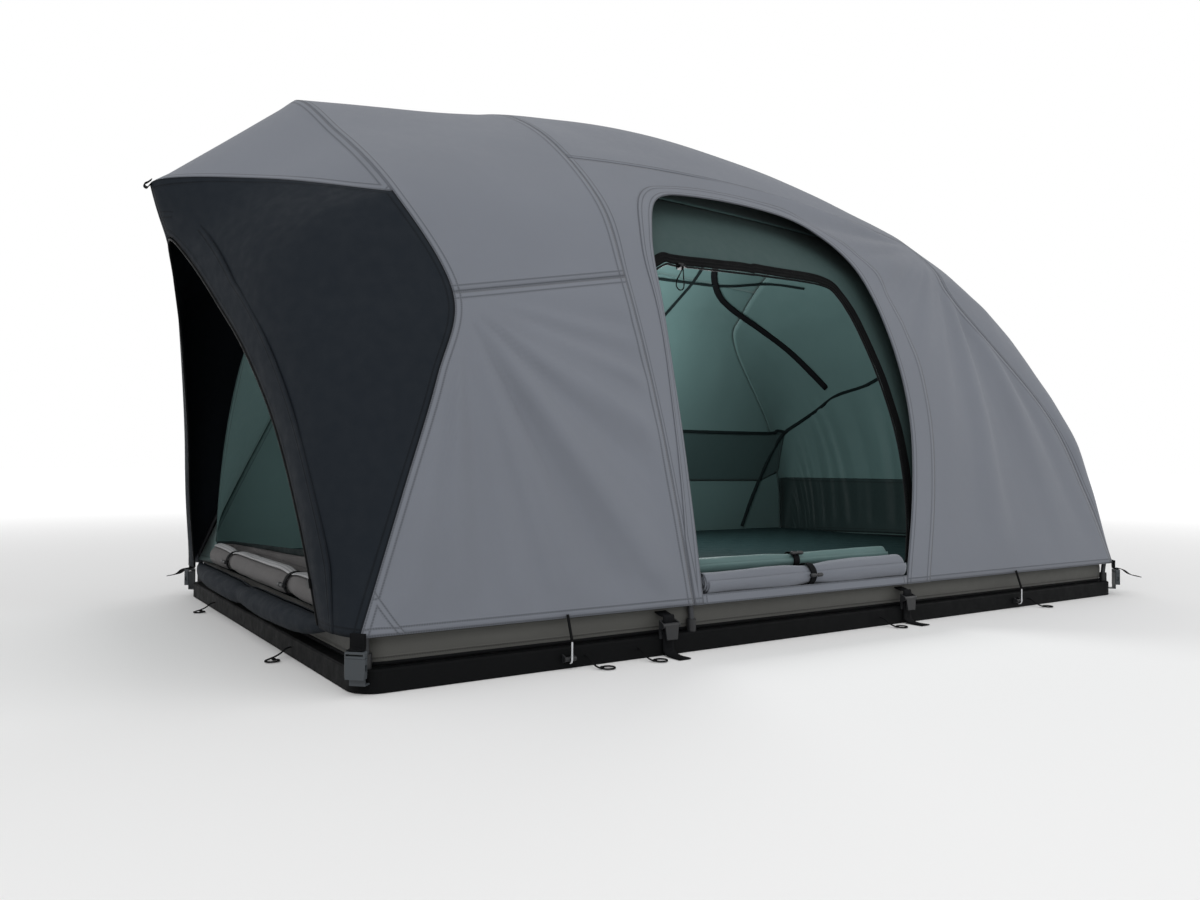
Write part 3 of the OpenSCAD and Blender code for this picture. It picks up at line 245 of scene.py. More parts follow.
def rear_bay(s, t):
    return mix(along(REAR, t), along(MIDDLE, t), s)


def front_bay(s, t, crown=FLY_CROWN):
    swell = 4 * s * (1 - s) * (BAY_SWELL * upper(t) + crown * smooth(upper(t)))
    return mix(along(MIDDLE, t), along(NOSE, t), s) + UP * swell


def inner_bay(s, t):
    """The front bay that the inner tent hangs from, without the fly's own crown."""
    return front_bay(s, t, 0)


def nose_skin(s, t):
    return bend(along(NOSE, t), along(NOSE_SWELL, t), along(NOSE_HEM, t), s)


def rear_edge(t):
    return along(REAR, t) if abs(t - RIDGE_T) >= RIDGE_T - BROW_T else along(BROW, t - BROW_T)


def rear_skin(s, t):
    return bend(along(ARCH, t), along(REAR_SWELL, t), rear_edge(t), s)


def brow_skin(s, t):
    return mix(rear_edge(t), along(REAR, t), s)


def inner_rear(s, t):
    outer, inner = sink(along(REAR, t), inner_sink(t)), along(INNER_ARCH, t)
    return bend(inner, mix(inner, outer, .5) - ALONG * REAR_BOW * upper(t), outer, s)


def inward(p):
    """Direction from a wall point to the core line along the middle of the tent."""
    return (Vector((CORE_REACH * p[0], 0, CORE_Z)) - p).normalized()


def sink(p, depth):
    return p + inward(p) * depth


def inner_sink(t):
    """Depth of the inner tent under the fly at a station."""
    return mix(HEM_DEPTH, INNER_DEPTH, min(1, max(0, min(t, FAR_T - t)) / SHOULDER_T))


def bay_share(x, t):
    low, high = along(MIDDLE, t)[0], along(NOSE, t)[0]
    return (x - low) / (high - low)


def border(w):
    """Outer boundary of a side panel as bay share and station, at share w of the way round."""
    if w < ROOF_FROM:
        return Vector((0, mix(0, ROOF_T, w / ROOF_FROM)))
    if w < ROOF_TO:
        return Vector(((w - ROOF_FROM) / (ROOF_TO - ROOF_FROM), ROOF_T))
    return Vector((1, mix(ROOF_T, 0, (w - ROOF_TO) / (1 - ROOF_TO))))


def ring(outline, w, r):
    """Bay share and station on a side panel, at share r of the way in from its border to its door."""
    q = along(outline, w * (len(outline) - 1))
    s, t = mix(border(w), Vector((bay_share(q[0], q[1]), max(0, q[1]))), r)
    return s, max(0, t)


def fly_ring(w, r):
    return front_bay(*ring(FLY_DOOR, w, r))


def inner_ring(w, r):
    s, t = ring(INNER_DOOR, w, r)
    return sink(inner_bay(s, t), inner_sink(t))


def trim_share(edge, far, width, limit, shortest=.03):
    """Share of the way from a panel's edge to its far side that a trim of some width takes up."""
    return min(limit, width / max(shortest, (far - edge).length))


# Meshes
def grid(place, cells):
    """Grid moved to place(u, v), with its weave and edge coordinates in metres, and its flat size."""
    across_count, up_count = cells
    bm = bmesh.new()
    bmesh.ops.create_grid(bm, x_segments=across_count, y_segments=up_count, size=.5)
    columns, rows = range(across_count + 1), range(up_count + 1)
    spots = [[place(i / across_count, j / up_count) for j in rows] for i in columns]
    across, up = ([[0.0 for _ in rows] for _ in columns] for _ in range(2))
    for i in columns:
        for j in rows:
            if i:
                across[i][j] = across[i - 1][j] + (spots[i][j] - spots[i - 1][j]).length
            if j:
                up[i][j] = up[i][j - 1] + (spots[i][j] - spots[i][j - 1]).length
    weave, edge = bm.loops.layers.uv.new("weave"), bm.loops.layers.uv.new("edge")
    cell = {}
    for vert in bm.verts:
        i, j = round((vert.co.x + .5) * across_count), round((vert.co.y + .5) * up_count)
        cell[vert] = i, j
        vert.co = spots[i][j]
    for face in bm.faces:
        for loop in face.loops:
            i, j = cell[loop.vert]
            a, b, wide, tall = across[i][j], up[i][j], across[-1][j], up[i][-1]
            loop[weave].uv = a - wide / 2, b - tall / 2
            loop[edge].uv = min(a, wide - a), min(b, tall - b)
    return bm, (max(across[-1]), max(column[-1] for column in up))


def close_up(bm, gap, sides):
    """Merges the seam of a wrapped grid, fills its open ends and turns its faces outwards."""
    bmesh.ops.remove_doubles(bm, verts=bm.verts[:], dist=gap)
    bmesh.ops.holes_fill(bm, edges=[e for e in bm.edges if e.is_boundary], sides=sides)
    bmesh.ops.recalc_face_normals(bm, faces=bm.faces[:])


def to_object(bm, name, material):
    mesh = bpy.data.meshes.new(name)
    bm.to_mesh(mesh)
    bm.free()
    mesh.shade_smooth()
    mesh.materials.append(material)
    obj = bpy.data.objects.new(name, mesh)
    bpy.context.scene.collection.objects.link(obj)
    return obj


def own(obj, slot, body="tent", nodes=()):
    """Puts a piece on its body, in place of the nodes that it stands for; its slot, meant to name its finish, is not
    used.
    """
    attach(obj, body)
    if nodes:
        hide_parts(*nodes)
    return obj


def cloth(name, place, cells, material, slot, nodes=(), thickness=.0012, body="tent", held="stretched",
          rests_on=("base_panel",), offset=-1, outward=True, cut=None):
    """A sewn sheet over place(u, v), with its outside away from the core of the tent."""
    bm, flat = grid(place, cells)
    flat = cut or flat
    if outward:
        bm.normal_update()
        turned = sum(f.normal.dot(inward(f.calc_center_median())) * f.calc_area() for f in bm.faces)
        if turned > 0:
            bmesh.ops.reverse_faces(bm, faces=bm.faces[:])
    area = sum(f.calc_area() for f in bm.faces)
    obj = to_object(bm, name, material)
    solid = obj.modifiers.new("Thickness", "SOLIDIFY")
    solid.thickness, solid.offset = thickness, offset
    own(obj, slot, body, nodes)
    list(rests_on)


def fade(u, v, margin=.12):
    """Nothing at the sewn edges of a panel, and all of it a margin further in."""
    return smooth(min(u, 1 - u) / margin) * smooth(min(v, 1 - v) / margin)


# Share of a side panel's run over which its folds die out at both ends
RING_END = .06
# Folds to the metre across a wall and through it, and the step from one seed to the next
FOLD_RATE, FOLD_DEEP_RATE, FOLD_SEED = 7, 3, 9.7
# Share and rate of the finer folds over the broad ones
FOLD_FINE, FOLD_FINE_RATE = .25, 2.3
# The same for folds that spread from a pivot, with how fast they change on the way out and where they start
FAN_RUN, FAN_SEED, FAN_FINE, FAN_FINE_RATE, FAN_START = .9, 7.3, .18, 2.2, .25


def folds(p, lean, stretch, seed):
    """Soft folds that run along the direction lean in the x-z plane, stretched that many times."""
    c, s = math.cos(lean), math.sin(lean)
    run, cross = p[0] * c + p[2] * s, -p[0] * s + p[2] * c
    spot = Vector((cross * FOLD_RATE, run * FOLD_RATE / stretch, p[1] * FOLD_DEEP_RATE + seed * FOLD_SEED))
    return noise.noise(spot) + FOLD_FINE * noise.noise(spot * FOLD_FINE_RATE)


def fan(p, pivot, count, seed):
    """Soft folds that spread over a wall from a pivot."""
    off = p - pivot
    angle = math.atan2(off[2], off[0])
    spot = Vector((math.cos(angle) * count, math.sin(angle) * count, off.length * FAN_RUN + seed * FAN_SEED))
    fold = noise.noise(spot) + FAN_FINE * noise.noise(spot * FAN_FINE_RATE)
    return fold * smooth(off.length / FAN_START)


def ring_fade(u, v, outer, inner):
    """Nothing at the border, the door and both ends of a side panel, and all of it further in."""
    return smooth(u / outer) * smooth((1 - u) / inner) * smooth(min(v, 1 - v) / RING_END)


def slackened(u, v, p, depth, fold, sag=0.0):
    """A point of a panel with its fold and the sag between its seams."""
    return sink(p, fade(u, v) * (sag - depth * fold))


def tube(name, points, radius, material, slot, sides=14, nodes=(), body="tent"):
    """Round tube along points, closed at both ends."""
    frames = []
    side = ACROSS if abs(heading(points, 0)[1]) < .9 else ALONG
    for i, p in enumerate(points):
        ahead = heading(points, i)
        side = (side - ahead * side.dot(ahead)).normalized()
        frames.append((p, side, ahead.cross(side)))

    def place(u, v):
        p, across, up = frames[round(v * (len(points) - 1))]
        return p + (across * math.cos(TAU * u) + up * math.sin(TAU * u)) * radius

    bm, _ = grid(place, (sides, len(points) - 1))
    close_up(bm, gap=radius * .01, sides=sides)
    return own(to_object(bm, name, material), slot, body, nodes)


def ribbon(name, points, wide, width, thickness, slot, **more):
    """Flat webbing along points, as wide as width in the direction wide."""
    count = len(points) - 1

    def place(u, v):
        return points[round(v * count)] + wide * (u - .5) * width

    cloth(name, place, (4, count), webbing(), slot, thickness=thickness, offset=0, outward=False, **more)


# Materials
def feed(tree, made, inputs):
    """Links or sets the inputs of a node."""
    for key, value in inputs.items():
        if isinstance(value, bpy.types.NodeSocket):
            tree.links.new(value, made.inputs[key])
        else:
            made.inputs[key].default_value = value
    return made


def node(tree, kind, inputs=None, **values):
    made = tree.nodes.new(kind)
    for key, value in values.items():
        setattr(made, key, value)
    return feed(tree, made, inputs or {})


def maths(tree, operation, *values, clamp=False):
    return node(tree, "ShaderNodeMath", dict(enumerate(values)), operation=operation, use_clamp=clamp).outputs[0]


def most(tree, values):
    """The largest of several values."""
    largest, *others = values
    for value in others:
        largest = maths(tree, "MAXIMUM", largest, value)
    return largest


def split(tree, vector):
    return node(tree, "ShaderNodeSeparateXYZ", {0: vector}).outputs


def ranged(tree, value, low, high, start=0.0, end=1.0, **values):
    """A value that goes from low to high while another goes from start to end."""
    return node(tree, "ShaderNodeMapRange", {"Value": value, "From Min": start, "From Max": end, "To Min": low,
                                             "To Max": high}, **values).outputs["Result"]


def noisy(tree, place, scale, detail, roughness=.5):
    return node(tree, "ShaderNodeTexNoise", {"Vector": place, "Scale": scale, "Detail": detail,
                                             "Roughness": roughness}).outputs["Fac"]


def group(name, inputs, outputs, fill):
    """A shader node group whose body is made by fill(tree, inputs), which returns its outputs."""
    tree = bpy.data.node_groups.new(name, "ShaderNodeTree")
    for in_out, sockets in (("INPUT", inputs), ("OUTPUT", outputs)):
        for label, kind in sockets.items():
            tree.interface.new_socket(label, in_out=in_out, socket_type=kind)
    entry, leave = tree.nodes.new("NodeGroupInput"), tree.nodes.new("NodeGroupOutput")
    feed(tree, leave, fill(tree, entry.outputs))
    return tree


def weave_body(tree, given):
    """Crossing threads over metric coordinates: height of the threads."""
    place = split(tree, given["Place"])
    turns = maths(tree, "DIVIDE", TAU, given["Pitch"])
    warp, weft = (maths(tree, "SINE", maths(tree, "MULTIPLY", place[axis], turns)) for axis in (0, 1))
    return {"Height": maths(tree, "MULTIPLY_ADD", maths(tree, "MULTIPLY", warp, weft), .5, .5)}


# Share of a stitch that dips under, width of a row, and where the raised band past the second row ends
STITCH_DIP, ROW_WIDTH, BAND_PAST, BAND_EDGE = .36, .0026, .004, .002


def seam_body(tree, given):
    """Two rows of stitches beside each sewn edge, on a slightly raised band."""
    edge, place = split(tree, given["Edge"]), split(tree, given["Place"])
    lines, dashes, bands = [], [], []
    for near, run in ((edge[0], place[1]), (edge[1], place[0])):
        dash = maths(tree, "PINGPONG", run, maths(tree, "MULTIPLY", given["Stitch"], .5))
        gap = maths(tree, "LESS_THAN", maths(tree, "DIVIDE", dash, given["Stitch"]), STITCH_DIP)
        for row in ("First row", "Second row"):
            off = maths(tree, "ABSOLUTE", maths(tree, "SUBTRACT", near, given[row]))
            lines.append(maths(tree, "SUBTRACT", 1, maths(tree, "DIVIDE", off, ROW_WIDTH), clamp=True))
            dashes.append(maths(tree, "MULTIPLY", lines[-1], gap))
        inside = maths(tree, "SUBTRACT", maths(tree, "ADD", given["Second row"], BAND_PAST), near)
        bands.append(maths(tree, "DIVIDE", inside, BAND_EDGE, clamp=True))
    return {"Line": most(tree, lines), "Thread": most(tree, dashes), "Band": most(tree, bands)}


# Scale and detail of broad drift, fine drift and puckers, and the fine drift's share of the mask
DRIFT_NOISES, FINE_SHARE = ((3.1, 3.0), (46.0, 4.0), (17.0, 2.0)), .35


def drift_body(tree, given):
    """Uneven dye and dust at two scales, and short puckers."""
    broad, fine, pucker = (noisy(tree, given["Place"], scale, detail) for scale, detail in DRIFT_NOISES)
    both = maths(tree, "MULTIPLY_ADD", fine, FINE_SHARE, maths(tree, "MULTIPLY", broad, 1 - FINE_SHARE))
    return {"Mask": both, "Fine": fine, "Pucker": pucker}


# How far a webbing's ribs slant, and the plain selvedge at its sides with its own soft edge
RIB_SLANT, SELVEDGE, SELVEDGE_EDGE = .8, .0012, .001


def rib_body(tree, given):
    """Ribs across a webbing or a zip, with plain selvedges."""
    place, edge = split(tree, given["Place"]), split(tree, given["Edge"])
    turns = maths(tree, "DIVIDE", TAU, given["Pitch"])
    slant = maths(tree, "MULTIPLY", maths(tree, "ABSOLUTE", place[0]), RIB_SLANT)
    rib = maths(tree, "SINE", maths(tree, "MULTIPLY", maths(tree, "ADD", place[1], slant), turns))
    inner = maths(tree, "DIVIDE", maths(tree, "SUBTRACT", edge[0], SELVEDGE), SELVEDGE_EDGE, clamp=True)
    return {"Height": maths(tree, "MULTIPLY", maths(tree, "MULTIPLY_ADD", rib, .5, .5), inner)}


def grain_body(tree, given):
    """Moulded grain, with paler scuffs where it has rubbed."""
    grain = node(tree, "ShaderNodeTexVoronoi", {"Vector": given["Place"], "Scale": given["Scale"]})
    rub = noisy(tree, given["Place"], 38.0, 6.0, .7)
    return {"Height": grain.outputs["Distance"], "Scuff": ranged(tree, rub, 0.0, 1.0, .56, .76), "Rub": rub}


VECTOR, FLOAT = "NodeSocketVector", "NodeSocketFloat"
GROUPS = {
    "Weave": ({"Place": VECTOR, "Pitch": FLOAT}, {"Height": FLOAT}, weave_body),
    "Seams": ({"Edge": VECTOR, "Place": VECTOR, "First row": FLOAT, "Second row": FLOAT, "Stitch": FLOAT},
              {"Line": FLOAT, "Thread": FLOAT, "Band": FLOAT}, seam_body),
    "Drift": ({"Place": VECTOR}, {"Mask": FLOAT, "Fine": FLOAT, "Pucker": FLOAT}, drift_body),
    "Ribs": ({"Place": VECTOR, "Edge": VECTOR, "Pitch": FLOAT}, {"Height": FLOAT}, rib_body),
    "Grain": ({"Place": VECTOR, "Scale": FLOAT}, {"Height": FLOAT, "Scuff": FLOAT, "Rub": FLOAT}, grain_body),
}


def use(tree, name, inputs):
    """Places a shared node group, which is made at its first use."""
    shared = bpy.data.node_groups.get(name) or group(name, *GROUPS[name])
    return node(tree, "ShaderNodeGroup", inputs, node_tree=shared).outputs


def blended(tree, mask, low, high):
    """A colour between two, by a mask."""
    made = node(tree, "ShaderNodeMix", {"Factor": mask}, data_type="RGBA")
    for key, value in (("A", low), ("B", high)):
        socket = next(s for s in made.inputs if s.name == key and s.type == "RGBA")
        if isinstance(value, bpy.types.NodeSocket):
            tree.links.new(value, socket)
        else:
            socket.default_value = (*value, 1)
    return next(s for s in made.outputs if s.type == "RGBA")


def shaded(tone, factor):
    return tuple(min(1, c * factor) for c in tone)


def new_material(name):
    made = bpy.data.materials.new(name)
    made.use_nodes = True
    return made, made.node_tree, made.node_tree.nodes["Principled BSDF"]


def uv(tree, name):
    return node(tree, "ShaderNodeUVMap", uv_map=name).outputs["UV"]


def object_place(tree):
    return node(tree, "ShaderNodeTexCoord").outputs["Object"]


def bump(tree, shader, height):
    made = node(tree, "ShaderNodeBump", {"Height": height, "Strength": 1.0, "Distance": 1.0})
    feed(tree, shader, {"Normal": made.outputs["Normal"]})


def made_once(make):
    """Makes a material at its first use, and finds it by its name after that."""
    def find(name, *values, **looks):
        return bpy.data.materials.get(name) or make(name, *values, **looks)
    return find


# Painted shade of the cloth between its threads and along a seam row's groove, and the shade of its stitches
WEAVE_PAINTED_SHADE, ROW_PAINTED_SHADE, STITCH_SHADE = .86, .5, .36
# How strongly a seam row's painted shade and its stitches are marked, and how far its band stands up and its rows
# sink in
SEAM_MARK, SEAM_RISE = .6, .0005


@made_once
def fabric(name, tone, roughness=.82, sheen=.1, pucker=.0007, weave=.00006, seams=True, contrast=.07, pitch=None,
           gloss=.25):
    """Coated woven cloth with its seams, uneven dye and small puckers, with painted shade between its threads and
    along its seam rows.
    """
    sizes = settings()[0]
    made, tree, shader = new_material(name)
    place = uv(tree, "weave")
    threads = use(tree, "Weave", {"Place": place, "Pitch": pitch or sizes.weave})
    drift = use(tree, "Drift", {"Place": object_place(tree)})
    patchy = ranged(tree, drift["Mask"], 0, 1, .3, .7)
    dye = blended(tree, patchy, shaded(tone, 1 - contrast), shaded(tone, 1 + contrast))
    # Painted shade between the threads of the weave
    dye = blended(tree, ranged(tree, threads["Height"], 0, .5), dye, shaded(tone, WEAVE_PAINTED_SHADE))
    height = maths(tree, "MULTIPLY", threads["Height"], weave)
    height = maths(tree, "MULTIPLY_ADD", drift["Pucker"], pucker, height)
    if seams:
        sewn = use(tree, "Seams", {"Edge": uv(tree, "edge"), "Place": place, "First row": sizes.row,
                                   "Second row": sizes.second_row, "Stitch": sizes.stitch})
        # Painted shade along the grooves of the seam rows, and the darker stitches
        for part, shade in (("Line", ROW_PAINTED_SHADE), ("Thread", STITCH_SHADE)):
            dye = blended(tree, maths(tree, "MULTIPLY", sewn[part], SEAM_MARK), dye, shaded(tone, shade))
        for part, rise in (("Band", SEAM_RISE), ("Line", -SEAM_RISE)):
            height = maths(tree, "MULTIPLY_ADD", sewn[part], rise, height)
    rough = ranged(tree, drift["Fine"], roughness - .08, min(1, roughness + .08), .3, .7)
    feed(tree, shader, {"Base Color": dye, "Roughness": rough, "Sheen Weight": sheen, "Sheen Roughness": .5,
                        "Specular IOR Level": gloss})
    bump(tree, shader, height)
    return made


# Webbing: painted shade between the ribs and painted highlight on them, its shade where it is dusty, the most dust,
# and its gloss
RIB_PAINTED_SHADE, RIB_PAINTED_HIGHLIGHT, DUST_SHADE, DUST_MOST, RIB_GLOSS = .6, 1.25, 1.6, .35, .07


@made_once
def ribbed(name, tone, pitch=None, roughness=.75, depth=.0003):
    """Webbing or tape with ribs across it and plain selvedges."""
    made, tree, shader = new_material(name)
    ribs = use(tree, "Ribs", {"Place": uv(tree, "weave"), "Edge": uv(tree, "edge"),
                              "Pitch": pitch or settings()[0].rib})
    drift = use(tree, "Drift", {"Place": object_place(tree)})
    # Painted shade between the ribs and painted highlight on their tops
    dye = blended(tree, ribs["Height"], shaded(tone, RIB_PAINTED_SHADE), shaded(tone, RIB_PAINTED_HIGHLIGHT))
    dust = ranged(tree, drift["Mask"], 0, DUST_MOST, .35, .7)
    dye = blended(tree, dust, dye, shaded(tone, DUST_SHADE))
    rough = ranged(tree, drift["Fine"], roughness - .1, roughness + .1, .3, .7)
    feed(tree, shader, {"Base Color": dye, "Roughness": rough, "Specular IOR Level": RIB_GLOSS})
    bump(tree, shader, maths(tree, "MULTIPLY", ribs["Height"], depth))
    return made


@made_once
def moulded(name, tone, roughness=.45, metallic=0.0, grain=900.0, depth=.00006, scuffs=.35, gloss=.4):
    """Moulded plastic or metal with a fine grain and rubbed places."""
    made, tree, shader = new_material(name)
    skin = use(tree, "Grain", {"Place": object_place(tree), "Scale": grain})
    worn = shaded(tone, 1.5) if metallic < .5 else shaded(tone, .8)
    dye = blended(tree, maths(tree, "MULTIPLY", skin["Scuff"], scuffs), tone, worn)
    rough = ranged(tree, skin["Rub"], max(.05, roughness - .12), roughness + .12, .3, .7)
    feed(tree, shader, {"Base Color": dye, "Roughness": rough, "Metallic": metallic, "Specular IOR Level": gloss})
    bump(tree, shader, maths(tree, "MULTIPLY", skin["Height"], depth))
    return made


# Pale tape: half the way between its lines, half width of a line's core and of its soft edge, depth, and the shift
# that keeps the count of lines above nothing
LINE_HALF_PITCH, LINE_CORE, LINE_EDGE, LINE_DEPTH, LINE_SHIFT = .0032, .0004, .0012, .0004, .1


@made_once
def lined_tape(name, tone):
    """Pale tape with three woven lines along it."""
    made, tree, shader = new_material(name)
    place = uv(tree, "weave")
    off = maths(tree, "PINGPONG", maths(tree, "ADD", split(tree, place)[0], LINE_SHIFT), LINE_HALF_PITCH)
    line = ranged(tree, off, 1, 0, LINE_CORE, LINE_EDGE)
    threads = use(tree, "Weave", {"Place": place, "Pitch": .0011})
    dye = blended(tree, line, tone, shaded(tone, .55))
    # Painted shade between the tape's threads
    dye = blended(tree, ranged(tree, threads["Height"], 0, .3), dye, shaded(tone, .8))
    feed(tree, shader, {"Base Color": dye, "Roughness": .75})
    bump(tree, shader, maths(tree, "MULTIPLY", line, -LINE_DEPTH))
    return made


# The tent's main cloths by their colour: name and looks
THIN_WEAVE = {"weave": .00003, "pitch": .0007}
CLOTHS = {
    "fly": ("Fly cloth", {}),
    "rear": ("Rear cloth", {"roughness": .78, "sheen": 0.0, "contrast": .04, "gloss": .1}),
    "inner": ("Inner cloth", {"roughness": .6, "sheen": .08, "pucker": .0011, **THIN_WEAVE}),
    "rear_roll": ("Rear door cloth", {"roughness": .85, "pucker": .001}),
}


def tent_cloth(kind, seams=True):
    """One of the tent's main cloths, or the same without seam rows."""
    name, looks = CLOTHS[kind]
    return fabric(name if seams else f"{name} plain", getattr(settings()[1], kind), seams=seams, **looks)


def webbing():
    return ribbed("Webbing", settings()[1].webbing)


def dark_binding():
    return ribbed("Dark binding", settings()[1].binding, pitch=.0018)


def cord_braid():
    return ribbed("Cord braid", settings()[1].cord, pitch=.0022)


def black_plastic():
    return moulded("Moulded black", settings()[1].moulded)


def finish_nodes(material, *names):
    """Gives CAD nodes that keep their shape a material."""
    for name in names:
        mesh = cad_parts[name].data
        mesh.materials.clear()
        mesh.materials.append(material)


# Base
def rounded_plan(half_l, half_w, corner):
    """Closed rounded rectangle by share of its length: point and outward direction."""
    end, side = half_w - corner, 2 * (half_l - corner)
    straights = [end, side, 2 * end, side, end]
    quarter = corner * math.pi / 2
    total = sum(straights) + 4 * quarter

    def at(share):
        run = (share % 1) * total
        p, out = ALONG * half_l, ALONG
        for straight in straights:
            ahead = Vector((-out[1], out[0], 0))
            if run <= straight:
                return p + ahead * run, out
            p, run = p + ahead * straight, run - straight
            turn = min(run, quarter) / corner
            swung = out * math.cos(turn) + ahead * math.sin(turn)
            p, run, out = p - out * corner + swung * corner, run - quarter, swung
            if run <= 0:
                break
        return p, out

    return at


# Half length, half width and corner of the tub, its gap to the base, and the depth of its bulge and of its folds
TUB, TUB_GAP, TUB_BULGE, TUB_FOLD = (1.026, .611, .021), .0004, .0035, .0012
# Lip of the tub: how far its outer edge stands out from each of the tub's sizes, the share of the way round to which
# it runs from the nose, the height of its outer edge, and the depth of its inner one under the tub's top
LIP_OUT, LIP_END, LIP_LOW, LIP_SINK = (.021, .0165, .016), .405, .0862, .0006
# Welt round the tub's foot: its radius, and how far out and up it lies
WELT_RADIUS, WELT_OUT, WELT_UP = .003, .0012, .004


def build_base():
    tones = settings()[1]
    skin = moulded("Base skin", tones.base, roughness=.62, grain=420.0, depth=.00012, gloss=.06)
    finish_nodes(skin, "base_panel")
    loop, outer = rounded_plan(*TUB), rounded_plan(*(a + b for a, b in zip(TUB, LIP_OUT)))

    def tub(u, v):
        p, out = loop(u)
        swell = math.sin(math.pi * v)
        bulge = TUB_BULGE * swell * (1 + .5 * noise.noise(Vector((p[0] * 5, p[1] * 5, v))))
        fold = TUB_FOLD * noise.noise(Vector((p[0] * 22, p[1] * 22, v * 2))) * swell
        return Vector((p[0], p[1], mix(BASE_TOP + TUB_GAP, TUB_TOP, v))) + out * (bulge + fold)

    def lip(u, v):
        share = mix(-LIP_END, LIP_END, u)
        return mix(outer(share)[0] + UP * LIP_LOW, loop(share)[0] + UP * (TUB_TOP - LIP_SINK), v)

    tub_cloth = fabric("Tub cloth", tones.tub, roughness=.7, sheen=.05, pucker=.0009)
    cloth("tub", tub, (320, 14), tub_cloth, "tub_grey", ["tub_wall"], .002)
    cloth("tub_lip", lip, (260, 3), tub_cloth, "tub_grey", thickness=.0009, rests_on=["tub"])
    welt = [p + out * WELT_OUT + UP * (BASE_TOP + WELT_UP) for p, out in (loop(k / 320) for k in range(321))]
    tube("tub_welt", welt, WELT_RADIUS, webbing(), "webbing", 8)
    build_mattress()


# Half length, half width and corner of the mattress, its foot, height and crown, and the depth of its rim's seam
MATTRESS, MATTRESS_FOOT, MATTRESS_TALL, MATTRESS_CROWN, RIM_SINK = (1.005, .590, .06), .0354, .078, .012, .001
# Pitch and depth of its quilting, the share of its top over which that comes in, and the share of its cover that
# goes up the boxed edge
QUILT, QUILT_DEPTH, QUILT_RUN, BOXED_SHARE = .11, .0016, .2, .4
# Side of the mattress from its foot up: inset and share of the height
BOXED_EDGE = [Vector(p) for p in ((.014, 0), (.003, .12), (.0, .3), (.006, .5), (.0, .7), (.004, .88), (.018, 1))]


def build_mattress():
    half_l, half_w, _ = MATTRESS
    loop = rounded_plan(*MATTRESS)
    spine = half_l - half_w

    def place(u, v):
        p, out = loop(u)
        if v <= BOXED_SHARE:
            inset, share = along(BOXED_EDGE, v / BOXED_SHARE * (len(BOXED_EDGE) - 1))
            return p - out * max(0, inset) + UP * (MATTRESS_FOOT + share * MATTRESS_TALL)
        f = (v - BOXED_SHARE) / (1 - BOXED_SHARE)
        rim = p - out * BOXED_EDGE[-1][0]
        spot = mix(rim, ALONG * max(-spine, min(spine, rim[0])), f)
        waves = math.sin(spot[0] * TAU / QUILT) * math.sin(spot[1] * TAU / QUILT)
        quilt = QUILT_DEPTH * waves * smooth(f / QUILT_RUN)
        crown = MATTRESS_CROWN * smooth(f * 1.4 + .1)
        return spot + UP * (MATTRESS_FOOT + MATTRESS_TALL + crown - RIM_SINK + quilt)

    bm, _ = grid(place, (240, 60))
    close_up(bm, gap=.0004, sides=0)
    cover = fabric("Mattress cover", settings()[1].mattress, roughness=.85, sheen=0.0, seams=False, pucker=.001,
                   gloss=.08)
    own(to_object(bm, "mattress_cover", cover), "mattress", nodes=["mattress"])


# Poles: how far a corner foot stands out from the corner's centre, depth under the fly at the hem and the ridge,
# and radius
FOOT_OUT, POLE_DEPTH, POLE_RADIUS = (.045 - .012) / math.sqrt(2), (.012, .016), .0055
# How far a pole's foot stands over the base's top, its straight end, and the stations from point to point
FOOT_LIFT, FOOT_TALL, POLE_STEP = .003, .021, .12
# The stations of each hoop, and the x and y of its near foot
HOOPS = {"rear": (REAR, -CORNER_X - FOOT_OUT, -CORNER_Y - FOOT_OUT), "middle": (MIDDLE, -.415, -.623),
         "nose": (NOSE, CORNER_X + FOOT_OUT, -CORNER_Y - FOOT_OUT)}


def build_poles():
    alloy = moulded("Pole alloy", settings()[1].pole, roughness=.45, metallic=.5, grain=1500.0, depth=.00001)
    for name, (stations, x, y) in HOOPS.items():
        low = Vector((x, y, BASE_TOP + FOOT_LIFT))
        high = low + UP * FOOT_TALL
        foot = [low, mix(low, high, .5), high]
        steps = [k * POLE_STEP for k in range(1, 100)]
        bow = [sink(along(stations, t), mix(*POLE_DEPTH, upper(t))) for t in steps]
        path = foot + bow + [mirrored(p) for p in reversed(foot)]
        tube(f"{name}_hoop", path, POLE_RADIUS, alloy, "poles", 12, [f"{name}_hoop_pole"])
    finish_nodes(alloy, "ridge_pole")
    finish_nodes(black_plastic(), "pole_sockets", "pole_hubs")


# Fly
FLY_SLOTS = {"fly": "fly_grey", "rear": "fly_black"}
# How far a facing stands off the rear panels and off the side panels, and stations from the brow's foot to its cloth
TRIM_LIFT, DOOR_TRIM_LIFT, BROW_GAP = .0009, .0012, .02
# Corner patch: share of the rear wall that it covers, its gap to the wall's edges, its taper and its lift
PATCH, PATCH_GAP, PATCH_TAPER, PATCH_LIFT = (.115, .105), .001, .98, .0008


def fly_panel(name, place, cells, kind="fly", cut=None):
    """A panel of the fly, in place of the solid that has its name."""
    cloth(name, place, cells, tent_cloth(kind), FLY_SLOTS[kind], [f"fly_{name}"], settings()[0].cloth, cut=cut)


def fly_trim(name, place, cells, panel, kind="fly", thickness=.0007):
    """A facing, patch or hem sewn on a panel of the fly."""
    cloth(name, place, cells, tent_cloth(kind), FLY_SLOTS[kind], thickness=thickness, rests_on=[panel])


